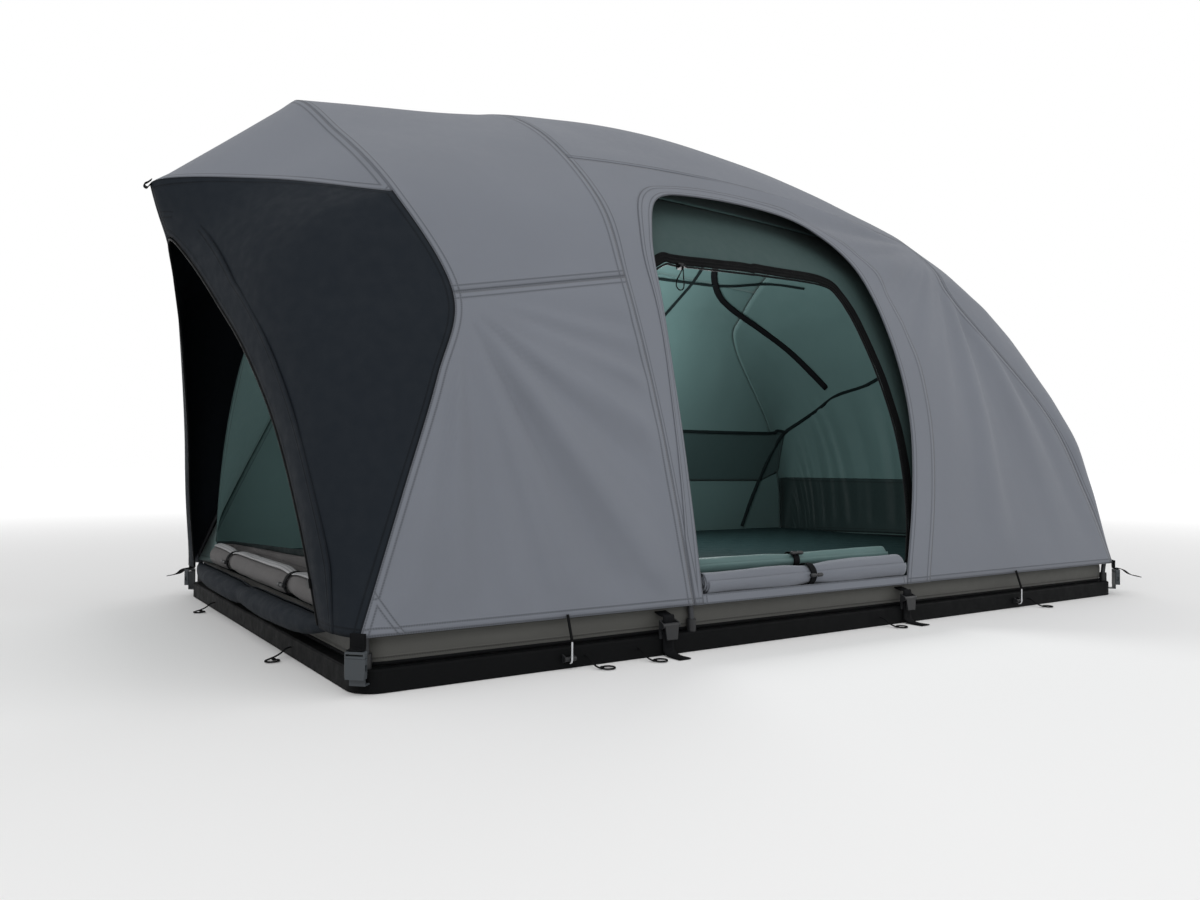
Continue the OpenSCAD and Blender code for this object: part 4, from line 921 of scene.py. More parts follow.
def build_fly():
    slack = settings()[0].slack

    def wall(u, v):
        p = rear_bay(u, mix(0, SHOULDER_T, v))
        return slackened(u, v, p, slack * 1.7, fan(p, REAR[SHOULDER_T], count=7.5, seed=1))

    def patch(u, v):
        wide, tall = PATCH
        return sink(wall(PATCH_GAP + wide * u * (1 - PATCH_TAPER * v), PATCH_GAP + tall * v), -PATCH_LIFT)

    def roof_rear(u, v):
        p = rear_bay(u, over(v, SHOULDER_T))
        return slackened(u, v, p, slack * .5, folds(p, lean=.05, stretch=3, seed=2), sag=.0015)

    def roof_front(u, v):
        p = front_bay(u, over(v, ROOF_T))
        return slackened(u, v, p, slack * .5, folds(p, lean=-.1, stretch=3, seed=3), sag=.002)

    def nose(u, v):
        t, f = over(v, HEM_GAP), min(1, u / NOSE_CROWN_END)
        p = nose_skin(u, t) + NOSE_CROWN * 4 * f * (1 - f) * smooth(upper(t))
        return slackened(u, v, p, slack, folds(p, lean=1.2, stretch=3, seed=4))

    def brow(u, v):
        p = brow_skin(u, over(v, BROW_T + BROW_GAP))
        return slackened(u, v, p, slack * .4, folds(p, lean=.5, stretch=3, seed=5), sag=.003)

    for side, sign in SIDES.items():
        seat = on_side(sign)
        fly_panel(f"rear_wall_{side}", lambda u, v: seat(wall(u, v)), (64, 64))
        fly_trim(f"corner_patch_{side}", lambda u, v: seat(patch(u, v)), (10, 10), f"rear_wall_{side}")
    fly_panel("roof_rear", roof_rear, (48, 96))
    fly_panel("roof_front", roof_front, (96, 64))
    fly_panel("nose_panel", nose, (64, 150))
    fly_panel("brow", brow, (40, 72))


def build_rear():
    sizes = settings()[0]

    def half(v):
        return mix(HEM_GAP, RIDGE_T - SEAM_GAP, v)

    def panel(u, v):
        p = rear_skin(u * SEWN_IN, half(v))
        return slackened(u, v, p, sizes.slack * .8, folds(p, lean=1.1, stretch=4, seed=6))

    def facing(u, v):
        t = half(v)
        share = trim_share(rear_skin(0, t), rear_skin(1, t), sizes.arch_facing, limit=.45, shortest=.05)
        return sink(rear_skin(share * u, t), -TRIM_LIFT)

    for side, sign in SIDES.items():
        seat = on_side(sign)
        fly_panel(f"rear_panel_{side}", lambda u, v: seat(panel(u, v)), (56, 96), "rear")
        fly_trim(f"arch_facing_{side}", lambda u, v: seat(facing(u, v)), (8, 96), f"rear_panel_{side}", "rear")
    beak_loop()


# Tab at the beak's tip, folded back on itself: millimetres past the tip and above it
BEAK_LOOP = ((-12, 1), (3, 2.2), (10, 4), (12.5, 0), (10, -4), (3, -3.6), (-6, -4.2))


def beak_loop():
    tip, back = BROW[2], REAR[RIDGE_T]
    ahead = (tip - back).normalized()
    up = ahead.cross(ACROSS)
    path = curve_through([tip + (ahead * a + up * b) / 1000 for a, b in BEAK_LOOP], 6)
    ribbon("beak_tip_loop", path, ACROSS, width=.016, thickness=.0014, slot="webbing", nodes=["beak_tip_tab"],
           held="folded", rests_on=["brow"])


# Share of the side panel's folds that is left over the rear jamb, and the run over which the rest comes in
JAMB_CALM, CALM_RUN = .2, .2
# Where the door's facing starts to widen on its way round, over what run, and how many times
FACING_FROM, FACING_RUN, FACING_GROWTH = .55, .2, 1.75
# Closed door: share of its outline at which it ends, gap to the opening as a share of its width, depth under it,
# and stations that it hangs lower
DOOR_TOP, DOOR_GAP, DOOR_SINK, DOOR_DROP = .985, .004, .0008, .01
# Flat sizes that the side panels of the fly and the near side of the inner tent are cut from
SIDE_CUT, INNER_SIDE_CUT = (1.50, .95), (1.48, .92)
# Hem at the near sill: its ends along x, its height as a station, and how far it stands off the panel
SILL_HEM_ENDS, SILL_HEM_T, SILL_HEM_LIFT = (-.396, .190), .095, .0007


def build_side_doors():
    sizes = settings()[0]

    def panel(u, v, lift=0.0):
        p = fly_ring(v, u)
        share = ring_fade(u, v, outer=.12, inner=.5) * mix(JAMB_CALM, 1, smooth((v - ROOF_FROM) / CALM_RUN))
        return sink(p, -lift - share * sizes.slack * 1.5 * fan(p, SIDE_PULL, count=6, seed=7))

    def facing(u, v):
        width = sizes.facing * mix(1, FACING_GROWTH, smooth((v - FACING_FROM) / FACING_RUN))
        share = trim_share(fly_ring(v, 1), fly_ring(v, 0), width, limit=.9)
        return panel(1 - share * u, v, DOOR_TRIM_LIFT)

    def closed_door(u, v):
        last = len(FLY_DOOR) - 1
        run = last / 2 * v * DOOR_TOP
        x, t = mix(along(FLY_DOOR, run), along(FLY_DOOR, last - run), mix(DOOR_GAP, 1 - DOOR_GAP, u))
        p = front_bay(bay_share(x, t), max(0, t - DOOR_DROP))
        return mirrored(sink(p, DOOR_SINK - fade(u, v) * sizes.slack * folds(p, lean=1.4, stretch=4, seed=8)))

    def hem_band(u, v):
        t = mix(0, SILL_HEM_T, v)
        return sink(front_bay(bay_share(mix(*SILL_HEM_ENDS, u), t), t), -SILL_HEM_LIFT)

    for side, sign in SIDES.items():
        seat = on_side(sign)
        fly_panel(f"side_panel_{side}", lambda u, v: seat(panel(u, v)), (40, 200), cut=SIDE_CUT)
        fly_trim(f"door_facing_{side}", lambda u, v: seat(facing(u, v)), (10, 200), f"side_panel_{side}")
    fly_panel("side_door_far", closed_door, (60, 70))
    fly_trim("side_sill_hem", hem_band, (60, 6), "side_panel_near", thickness=.0009)


# Inner tent
def hung(skin, u, v, t, lean, seed, depth=.005, sag=0.0):
    """A point of the inner tent, hung under the fly with its folds."""
    p = sink(skin(u, t), inner_sink(t))
    return slackened(u, v, p, depth, folds(p, lean, stretch=4, seed=seed), sag)


def far_lining(u, v):
    return hung(inner_bay, u, v, mix(FAR_T - ROOF_T, FAR_T - SEAM_GAP, v), lean=1.4, seed=13)


def roof_lining(u, v):
    return hung(inner_bay, u, v, over(v, ROOF_T), lean=.1, seed=14, depth=.004, sag=.004)


def rear_lining(u, v):
    return hung(rear_bay, u, v, over(v, SEAM_GAP), lean=1.2, seed=15)


# Gathers of the inner nose: depth, rate round the tent and down the nose, where they come in and over what run
NOSE_GATHER, GATHER_ROUND, GATHER_DOWN, GATHER_FROM, GATHER_RUN = .011, 4.5, 1.5, .35, .4


def nose_lining(u, v):
    t = over(v, HEM_GAP)
    ripple = noise.noise(Vector((t * GATHER_ROUND, u * GATHER_DOWN, 3.3)))
    gather = NOSE_GATHER * ripple * smooth((u - GATHER_FROM) / GATHER_RUN) * fade(u, v, margin=.06)
    return sink(hung(nose_skin, u, v, t, lean=1.2, seed=16), gather)


def lining(s, t):
    """Inside of the inner tent: the front bay up to share 1, and the nose from there to share 2."""
    if s > 1:
        return nose_lining(s - 1, t / FAR_T)
    if t > FAR_T - ROOF_T:
        return far_lining(s, (t - FAR_T + ROOF_T) / (ROOF_T - SEAM_GAP))
    return roof_lining(s, (t - ROOF_T) / (FAR_T - 2 * ROOF_T))


# Depth of the folds in the near side and the rear wall of the inner tent
NEAR_FOLD, REAR_FOLD = .004, .003


def build_inner():
    sizes, tones = settings()

    def near_side(u, v):
        p = inner_ring(v, u)
        return sink(p, ring_fade(u, v, outer=.2, inner=.3) * NEAR_FOLD * folds(p, lean=1.5, stretch=4, seed=11))

    def rear_wall(u, v):
        p = inner_rear(u * SEWN_IN, over(v, HEM_GAP))
        return sink(p, fade(u, v) * REAR_FOLD * folds(p, lean=1.5, stretch=3, seed=12))

    teal, plain = tent_cloth("inner"), tent_cloth("inner", False)
    # The near side's lining is the inner teal at 0.45 of its colour: painted shade for the fly's shadow over it, the
    # cloth being the same as the rest
    painted_shade_cloth = fabric("Near inner cloth", shaded(tones.inner, .45), roughness=.7, sheen=.05, pucker=.0011, gloss=.15,
                 **THIN_WEAVE)
    for name, place, cells, material, solid, cut in (
            ("side_near", near_side, (32, 180), painted_shade_cloth, "side_near", INNER_SIDE_CUT),
            ("side_far", far_lining, (96, 72), plain, "side_far", None),
            ("roof", roof_lining, (80, 48), plain, "roof", None),
            ("rear_bay", rear_lining, (40, 150), teal, "rear_bay", None),
            ("nose", nose_lining, (56, 200), plain, "nose_wall", None),
            ("rear_wall", rear_wall, (32, 150), teal, "rear_wall", None)):
        cloth(f"lining_{name}", place, cells, material, "inner_teal", [f"inner_{solid}"], sizes.inner_cloth, cut=cut)
    line_walls()
    build_rear_sill()


# Seams and strips on the inside of the inner tent, as bay share and station
ARCH_SEAM = ((1.45, 6), (1.48, 6.8), (1.49, 7.5), (1.52, 8.3), (1.48, 9.25), (1.28, 9.85), (1.06, 10.25),
             (.95, 10.7), (.89, 11.35), (.86, 11.85))
POLE_STRIP = ((.80, 6.9), (.82, 7.3), (.88, 7.65), (.96, 7.9), (1.1, 8.0), (1.25, 7.9), (1.45, 7.65))
BRACE_STRIP = ((.77, 7.1), (.77, 7.5), (.75, 7.85), (.72, 8.3))
WINDOW_SEAM = ((.01, 10.1), (.34, 10.1), (.67, 10.1), (.98, 10.1), (1.12, 10.0), (1.27, 9.87))
CEILING_SEAM = ((.01, 7.6), (.4, 7.6), (.72, 7.55), (.88, 7.48), (1.02, 7.2), (1.1, 6.8))
# Dark window panel: bay shares where it starts and where its top and foot end, stations of its top and foot, and how
# many stations its top rises for a whole share past the nose hoop
WINDOW_FROM, WINDOW_TOP_END, WINDOW_FOOT_END = .004, 1.27, .93
WINDOW_T, WINDOW_FOOT_T, WINDOW_RISE = 10.1, 10.95, .8
# Nose band: height of its top, the stations of its ends, and the share down the nose where its foot lies
NOSE_BAND_Z, NOSE_BAND_ENDS, NOSE_BAND_FOOT = .30, (.25, FAR_T - .05), .997
# How far the dark panels and the strips stand off the lining
PANEL_LIFT, STRIP_LIFT = .0016, .004


def line_walls():
    """Darker panels, seams and webbing sewn on the inside of the inner tent, with painted shade on the nose band."""
    lower, dark = settings()[1].lower, dark_binding()

    def window(u, v):
        s = mix(WINDOW_FROM, mix(WINDOW_TOP_END, WINDOW_FOOT_END, v), u)
        t = mix(WINDOW_T - WINDOW_RISE * max(0, s - 1), WINDOW_FOOT_T, v)
        return sink(lining(s, t), PANEL_LIFT)

    def nose_band(u, v):
        t = mix(*NOSE_BAND_ENDS, v)
        high, low = 0.0, 1.0
        # Halves the run down the nose until it meets the band's top
        for _ in range(18):
            middle = (high + low) / 2
            if lining(1 + middle, t)[2] > NOSE_BAND_Z:
                high = middle
            else:
                low = middle
        return sink(lining(1.0001 + mix(high, NOSE_BAND_FOOT, u), t), PANEL_LIFT)

    for name, place, cells, cloth_name, tone, sheen, wall in (
            ("window", window, (76, 16), "Lower inner cloth", lower, .1, "side_far"),
            # The nose band is the lower panels' cloth at half its colour: painted shade at the nose
            ("nose_band", nose_band, (24, 200), "Nose band cloth", shaded(lower, .5), .05, "nose")):
        material = fabric(cloth_name, tone, roughness=.65, sheen=sheen, pucker=.001, **THIN_WEAVE)
        cloth(f"inner_{name}", place, cells, material, "inner_teal", thickness=.0006, rests_on=[f"lining_{wall}"])
    over_ridge = [(s, FAR_T - t) for s, t in reversed(ARCH_SEAM[1:4])]
    for name, route, width, material in (
            ("arch", (*over_ridge, *ARCH_SEAM), .012, dark), ("pole", POLE_STRIP, .020, webbing()),
            ("brace", BRACE_STRIP, .0105, dark), ("window", WINDOW_SEAM, .0105, dark),
            ("ceiling", CEILING_SEAM, .0105, dark)):
        lining_strip(f"lining_{name}_strip", route, width, material)


def lining_strip(name, route, width, material):
    """A strip sewn along a route on the inside of the inner tent."""
    points = curve_through([sink(lining(s, t), STRIP_LIFT) for s, t in route], 14)
    count = len(points) - 1

    def place(u, v):
        i = round(v * count)
        return points[i] + heading(points, i).cross(inward(points[i])).normalized() * (u - .5) * width

    cloth(name, place, (4, count), material, "webbing", thickness=.0009, rests_on=["lining_roof"], offset=0,
          outward=False)


# Sill flap of the inner rear door: its x, half width and foot, its top at the far and the near end, and its lean
SILL_X, SILL_END, SILL_FOOT, SILL_TOPS, SILL_LEAN = -.990, .432, .1285, (.150, .186), .006
# Where the flap's ends turn to the wall, over what run, the wall's x, and the depth of the flap's waves
SILL_TURN, SILL_TURN_RUN, SILL_WALL_X, SILL_WAVE = .414, .018, -1.0265, .004
# Share of the flap that its binding covers, and the binding's way off it
SILL_BOUND, SILL_BINDING_LIFT = .28, Vector((-.0011, 0, .0004))
# Stations of the doorway's binding above the hems, and how far it stands off the wall
DOOR_BINDING_T, DOOR_BINDING_LIFT = .35, .0012


def build_rear_sill():
    """Flap of the inner rear door behind its roll, and the dark binding round the doorway."""
    binding = settings()[0].binding

    def flap(u, v):
        y = mix(SILL_END, -SILL_END, u)
        reach = smooth((abs(y) - SILL_TURN) / SILL_TURN_RUN)
        wave = SILL_WAVE * noise.noise(Vector((y * 9, v * 2, 4.1))) * (1 - reach)
        x = mix(SILL_X - SILL_LEAN * v, SILL_WALL_X, reach) + wave
        return Vector((x, y, mix(SILL_FOOT, mix(*SILL_TOPS, u), v)))

    def flap_binding(u, v):
        return flap(u, 1 - SILL_BOUND * v) + SILL_BINDING_LIFT

    def door_binding(u, v):
        t = over(v, DOOR_BINDING_T)
        share = trim_share(inner_rear(0, t), inner_rear(1, t), binding, limit=.6)
        return sink(inner_rear(share * u, t), -DOOR_BINDING_LIFT)

    cloth("rear_sill", flap, (90, 12), tent_cloth("rear_roll"), "rear_roll_grey", rests_on=["mattress_cover"],
          held="folded")
    for name, place, cells, under in (("sill", flap_binding, (90, 4), "rear_sill"),
                                      ("door", door_binding, (4, 150), "lining_rear_wall")):
        cloth(f"rear_{name}_binding", place, cells, dark_binding(), "webbing", thickness=.0008, rests_on=[under])


# Rolled doors: reach of a tie along the roll, how far it draws the roll in, and how far a gathered end thins
TIE_REACH, TIE_PINCH, GATHER_THIN = .042, .2, .62
# Share of its radius that a roll keeps, and the depth of its pleats beside a tie, of its wrinkles and finer ones
ROLL_KEPT, PLEAT, WRINKLE, FINE_WRINKLE = .955, .24, .06, .035
# How far a roll's layers slip past each other at its ends, their way in from the ends, and the outer layer's depth
ROLL_SLIP, ROLL_IN, ROLL_SKIN = .006, .004, .0008
# A tie's width, lift off its roll and thickness; the pale tape's angles on its roll, its way in and its lift
TIE_WIDTH, TIE_LIFT, TIE_THICK = .016, .0014, .0014
ROLL_TAPE_ANGLES, ROLL_TAPE_IN, ROLL_TAPE_LIFT = (58, 104), .012, .0012
# Places of the ties as shares of their rolls
SIDE_TIE, REAR_TIES = .4982, (.22, .78)


def roll_shape(start, end, radius, ties, seed, taper=(1.0, 1.0), gathered=None):
    """Skin of a rolled door: its point at an angle, a distance along it and a depth under the skin."""
    ahead, total = (end - start).normalized(), (end - start).length
    side = UP.cross(ahead)

    def spot(angle, d, depth=0.0):
        near = max(math.exp(-(abs(d - tie * total) / TIE_REACH) ** 2) for tie in ties)
        reach = abs(2 * d / total - 1) ** 6 if gathered else 0
        full = radius * mix(*taper, smooth(d / total)) * (1 - GATHER_THIN * reach)
        pinch = 1 - TIE_PINCH * near
        around = Vector((math.cos(angle) * 1.3, math.sin(angle) * 1.3, d * 7 + seed))
        pleat = PLEAT * near * (1 - near) * math.sin(5 * angle + 3 * math.sin(2 * angle + seed))
        wrinkle = WRINKLE * noise.noise(around) + FINE_WRINKLE * noise.noise(around * 2.3)
        size = full * pinch * min(1.0, ROLL_KEPT + pleat * .5 + wrinkle * (1 - near))
        shift = gathered * reach if gathered else UP * (full - radius)
        out = side * math.cos(angle) + UP * math.sin(angle)
        return start + ahead * d + shift + out * (size - depth * pinch)

    return spot, total


def rolled(name, shape, kind, slot, turns, pitch, lead, thickness=.0011):
    """A door rolled up on itself."""
    spot, total = shape

    def place(u, v):
        slip = ROLL_SLIP * noise.noise(Vector((u * turns * 1.3, total, 3.3))) * smooth(abs(2 * v - 1) * 4 - 3)
        d = mix(ROLL_IN, total - ROLL_IN, v) + slip
        return spot(TAU * (turns * u + lead), d, ROLL_SKIN + pitch * turns * u)

    cloth(f"{name}_roll", place, (int(turns * 28), 120), tent_cloth(kind, False), slot, [f"{name}_door_roll"],
          thickness, held="folded", rests_on=["tub"], outward=False)


def build_rolls():
    side_from, side_to = Vector((-.386, -.6105, .1204)), Vector((.181, -.6105, .1204))
    inner_from, inner_to = Vector((-.386, -.5686, .1446)), Vector((.181, -.5686, .1446))
    fly_from, rear_from = Vector((-1.0590, -.516, .0740)), Vector((-1.0245, -.420, .1194))
    side_fly = roll_shape(side_from, side_to, radius=.028, ties=[SIDE_TIE], seed=1, taper=(.90, 1.05))
    side_inner = roll_shape(inner_from, inner_to, radius=.020, ties=[SIDE_TIE], seed=5, taper=(1.0, 1.02))
    rear_fly = roll_shape(fly_from, mirrored(fly_from), radius=.0265, ties=[.5], seed=9,
                          gathered=Vector((.011, 0, .014)))
    rear_inner = roll_shape(rear_from, mirrored(rear_from), radius=.027, ties=REAR_TIES, seed=13)
    rolled("side_fly", side_fly, "fly", "fly_grey", turns=5.3, pitch=.0038, lead=.45)
    rolled("side_inner", side_inner, "inner", "inner_teal", turns=4.4, pitch=.0034, lead=.45, thickness=.0008)
    rolled("rear_fly", rear_fly, "rear", "fly_black", turns=5.2, pitch=.0036, lead=.3)
    rolled("rear_inner", rear_inner, "rear_roll", "rear_roll_grey", turns=5.2, pitch=.0038, lead=.3)
    for label, shape, tie in (("side_fly", side_fly, SIDE_TIE), ("side_inner", side_inner, SIDE_TIE),
                              ("rear_near", rear_inner, REAR_TIES[0]), ("rear_far", rear_inner, REAR_TIES[1])):
        tie_band(f"tie_{label}", *shape, tie)
    roll_tape(*rear_inner)
    finish_nodes(black_plastic(), "side_fly_toggle", "side_inner_toggle", "rear_toggle_near", "rear_toggle_far")


def tie_band(name, spot, total, tie):
    """Webbing drawn tight round a roll."""
    def place(u, v):
        return spot(TAU * v, total * tie + (u - .5) * TIE_WIDTH, -TIE_LIFT)

    cloth(name, place, (4, 56), webbing(), "webbing", ["roll_ties"], TIE_THICK, held="folded", rests_on=["tub"],
          offset=0, outward=False)


def roll_tape(spot, total):
    """Pale zip tape of the inner rear door, on the outside of its roll."""
    def place(u, v):
        angle = math.radians(mix(*ROLL_TAPE_ANGLES, u))
        return spot(angle, mix(ROLL_TAPE_IN, total - ROLL_TAPE_IN, v), -ROLL_TAPE_LIFT)

    tape = lined_tape("Lined tape", settings()[1].tape)
    cloth("rear_roll_tape", place, (8, 110), tape, "rear_roll_grey", thickness=.0009, held="folded",
          rests_on=["rear_inner_roll"], outward=False)


# Zips: radius of a coil, its depth under the cloth and its way in from the cloth's edge
COIL_RADIUS, COIL_DEPTH, COIL_IN = .0024, .0008, .0041
# Side zip's tape: its lift off the lining, height of its woven ridges, depth of its waves, and reach past the edge
TAPE_LIFT, TAPE_RIDGE, TAPE_WAVE, TAPE_PAST = .0011, .0018, .0022, .0022
# Shares of the side door's edge where its zip starts and ends, and stations of the rear zip's ends above the hems
ZIP_FROM, ZIP_TO, REAR_ZIP_T = .012, .988, .02
# Middle of the side doorway as x and station, and of the rear doorway as a point
DOOR_HEART_X, DOOR_HEART_T, ARCH_HEART = -.046, 1.8, Vector((-1.12, 0, .33))


def square_in(edge, w, step, heart):
    """Direction from an edge towards a heart, square to the edge."""
    ahead = (edge(w + step) - edge(w - step)).normalized()
    off = heart - edge(w)
    return (off - ahead * off.dot(ahead)).normalized()


def build_zips():
    sizes, tones = settings()
    tape = ribbed("Zip tape", tones.zip, pitch=.0016, depth=.0002)
    coil = ribbed("Zip coil", shaded(tones.zip, 1.6), pitch=.0026, depth=.0006, roughness=.4)
    heart = sink(inner_bay(bay_share(DOOR_HEART_X, DOOR_HEART_T), DOOR_HEART_T), inner_sink(DOOR_HEART_T))

    def edge(w):
        return inner_ring(w, 1)

    def square(w):
        return square_in(edge, w, step=.004, heart=heart)

    def arch_edge(t):
        return sink(along(ARCH, t), COIL_DEPTH)

    def side_tape(u, v):
        w = mix(ZIP_FROM, ZIP_TO, v)
        wave = TAPE_WAVE * noise.noise(Vector((v * 26, 1.7, 0)))
        ridge = TAPE_RIDGE * math.sin(TAU * 1.5 * u) ** 2
        return sink(edge(w), -TAPE_LIFT - ridge) + square(w) * (mix(-sizes.zip_tape, TAPE_PAST, u) + wave)

    cloth("side_zip_tape", side_tape, (18, 280), tape, "zip_black", thickness=.0008, rests_on=["lining_side_near"])
    shares = [mix(ZIP_FROM, ZIP_TO, k / 300) for k in range(301)]
    side_path = [sink(edge(w), COIL_DEPTH) + square(w) * COIL_IN for w in shares]
    stations = [over(k / 260, REAR_ZIP_T) for k in range(261)]
    rear_path = [arch_edge(t) + square_in(arch_edge, t, step=.04, heart=ARCH_HEART) * COIL_IN for t in stations]
    for name, path in (("side_zip", side_path), ("rear_zip", rear_path)):
        tube(f"{name}_coil", path, COIL_RADIUS, coil, "zip_black", 10, [name])
    metal = moulded("Zip metal", shaded(tones.zip, 2.2), roughness=.35, metallic=.6)
    finish_nodes(metal, "side_zip_slider", "rear_zip_slider")
    pull_loop()


# Cord loop of the side zip's pull: millimetres along the tent and up from its pin
PULL_LOOP = ((-1.5, -2), (-1.8, -9), (-8, -20), (-15, -32), (-16, -44), (-9, -51), (0, -50), (4, -42), (3.5, -30),
             (2.4, -16), (1.6, -9), (1.5, -2))
PIN_RADIUS, PIN_REACH, PULL_CORD_RADIUS = .0012, ALONG * .006, .0013


def pull_loop():
    """Cord loop on the pin of the side zip's slider."""
    low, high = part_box("side_zip_pull")
    pin = Vector(((low[0] + high[0]) / 2, (low[1] + high[1]) / 2, high[2] - PIN_RADIUS))
    tube("side_pull_pin", [pin - PIN_REACH, pin, pin + PIN_REACH], PIN_RADIUS, black_plastic(), "zip_black", 12,
         ["side_zip_pull"], "side_pull")
    points = curve_through([pin + Vector((a / 1000, 0, b / 1000)) for a, b in PULL_LOOP], 6)
    cord_piece("side_pull_loop", points, PULL_CORD_RADIUS, ["side_zip_pull"], "object", "side_pull")


# Straps, as distance out and height: the shared start of a corner strap, its short and long ends, a lash strap
CORNER_RUN = ((.0594, .091), (.0594, .0724), (.0624, .0678))
SHORT_END, LONG_END = ((.0704, .0682),), ((.0724, .0688), (.0844, .0648), (.0996, .0538), (.1244, .0478))
LASH_RUN = ((-.023, .075), (-.004, .070), (.0039, .066), (.0039, .016), (.0089, .006), (.0219, .0014),
            (.0519, .0014))
LASH_X = {"rear": -.480, "front": .178}
STRAP = {"width": .025, "thickness": .0018, "slot": "webbing"}


def build_straps():
    tones = settings()[1]
    for side, sign in SIDES.items():
        for end, way in ENDS.items():
            angle = math.atan2(sign, way)
            out = Vector((math.cos(angle), math.sin(angle), 0))
            corner = Vector((way * CORNER_X, sign * CORNER_Y, 0))
            run = CORNER_RUN + (SHORT_END if (side, end) == ("near", "rear") else LONG_END)
            points = curve_through([corner + out * a + UP * b for a, b in run], 8)
            ribbon(f"corner_strap_{side}_{end}", points, Vector((-out[1], out[0], 0)), body=f"buckle_{side}_{end}",
                   nodes=[f"strap_{side}_{end}"], rests_on=[f"plug_{side}_{end}"], **STRAP)
    for side, sign in SIDES.items():
        for place, x in LASH_X.items():
            points = curve_through([Vector((x, sign * (BASE_SIDE + a), b)) for a, b in LASH_RUN], 8)
            ribbon(f"lash_strap_{side}_{place}", points, ALONG, nodes=["lash_straps"], **STRAP)
    buckle = moulded("Buckle grey", tones.buckle, roughness=.5)
    finish_nodes(buckle, "corner_buckle_sockets", *(f"plug_{s}_{e}" for s in SIDES for e in ENDS))
    finish_nodes(black_plastic(), "cam_frames", "hem_cleats", *(f"lever_{s}_{p}" for s in SIDES for p in LASH_X))
    chrome = moulded("Hook chrome", tones.hook, roughness=.18, metallic=1.0, grain=2000.0, depth=.00001)
    finish_nodes(chrome, "hem_hooks")


# A tie cord: millimetres along the base's side, out from it and above where its loop lies
TIE_LOOP = ((0, .9, 16), (0, 10, 14), (2, 20, 7), (4, 32, 2), (10, 44, 0), (20, 50, 0), (30, 46, 0), (33, 36, 0),
            (27, 28, 0), (18, 28, 0), (12, 34, 0))
# Places of the tie cords along the near side and the rear, their radius, and the height at which the loops lie
SIDE_TIE_X, REAR_TIE_Y, TIE_CORD_RADIUS, TIE_CORD_UP = (-.655, -.545, .095, .640), (-.300, .330), .0015, .0018
# Hem elastics: their places along x, radius, way out to their hooks, and heights of their two ends
ELASTIC_X, ELASTIC_RADIUS, ELASTIC_OUT, ELASTIC_LOW, ELASTIC_HIGH = (-.690, .590), .0025, .0144, .0480, .0892


def build_cords():
    places = [(f"side_{k}", Vector((x, -BASE_HALF_W, 0)), -ACROSS, ALONG) for k, x in enumerate(SIDE_TIE_X)]
    places += [(f"rear_{k}", Vector((-BASE_HALF_L, y, 0)), -ALONG, -ACROSS) for k, y in enumerate(REAR_TIE_Y)]
    for label, origin, out, ahead in places:
        start = origin + UP * TIE_CORD_UP
        route = [start + (ahead * a + out * b + UP * c) / 1000 for a, b, c in TIE_LOOP]
        cord_piece(f"tie_cord_{label}", curve_through(route, 6), TIE_CORD_RADIUS, ["tie_cords"], "knot")
    for side, sign in SIDES.items():
        for k, x in enumerate(ELASTIC_X):
            low = Vector((x, sign * (BASE_SIDE + ELASTIC_OUT), ELASTIC_LOW))
            high = Vector((x, sign * BASE_SIDE, ELASTIC_HIGH))
            points = [mix(high, low, f / 8) for f in range(9)]
            cord_piece(f"hem_elastic_{side}_{k}", points, ELASTIC_RADIUS, ["hem_elastics"], "object")


def cord_piece(name, points, radius, nodes, far_end, body="tent"):
    """A cord along points, with its knot where it ends in one."""
    obj = tube(name, points, radius, cord_braid(), "cord", 10, nodes, body)
    run = sum((b - a).length for a, b in zip(points, points[1:]))
    ends = [knot(f"{name}_knot", points, radius)] if far_end == "knot" else []
    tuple(points[0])


# Knot: share of the trefoil that is drawn, its size and rise in cord radii, and the share of its radius that the
# cord keeps in it
KNOT_DRAWN, KNOT_SIZE, KNOT_RISE, KNOT_KEPT = .97, .62, .45, .92


def knot(name, cord, radius):
    """An overhand knot at a cord's end: a trefoil of the cord drawn tight."""
    ahead = (cord[-1] - cord[-2]).normalized()
    side = ahead.cross(UP).normalized()
    up = side.cross(ahead)
    points = []
    for k in range(61):
        a = TAU * k / 60 * KNOT_DRAWN
        x, y, z = math.sin(a) + 2 * math.sin(2 * a), math.cos(a) - 2 * math.cos(2 * a), -math.sin(3 * a)
        points.append(cord[-1] + (ahead * x + side * y) * radius * KNOT_SIZE + up * (z * KNOT_RISE + .5) * radius)
    return tube(name, points, radius * KNOT_KEPT, cord_braid(), "cord", 8)


# Stage
BLACK, WHITE = (0, 0, 0), (1, 1, 1)
# Floor: half its side, its height just under the base, and the distances where it starts and ends to glow
FLOOR_HALF, FLOOR_Z, GLOW_FROM, GLOW_TO = 60, -.0008, 1.6, 6.5
# Strength of the world as light and as what is seen
WORLD_LIGHT, WORLD_SEEN = .72, 1.0


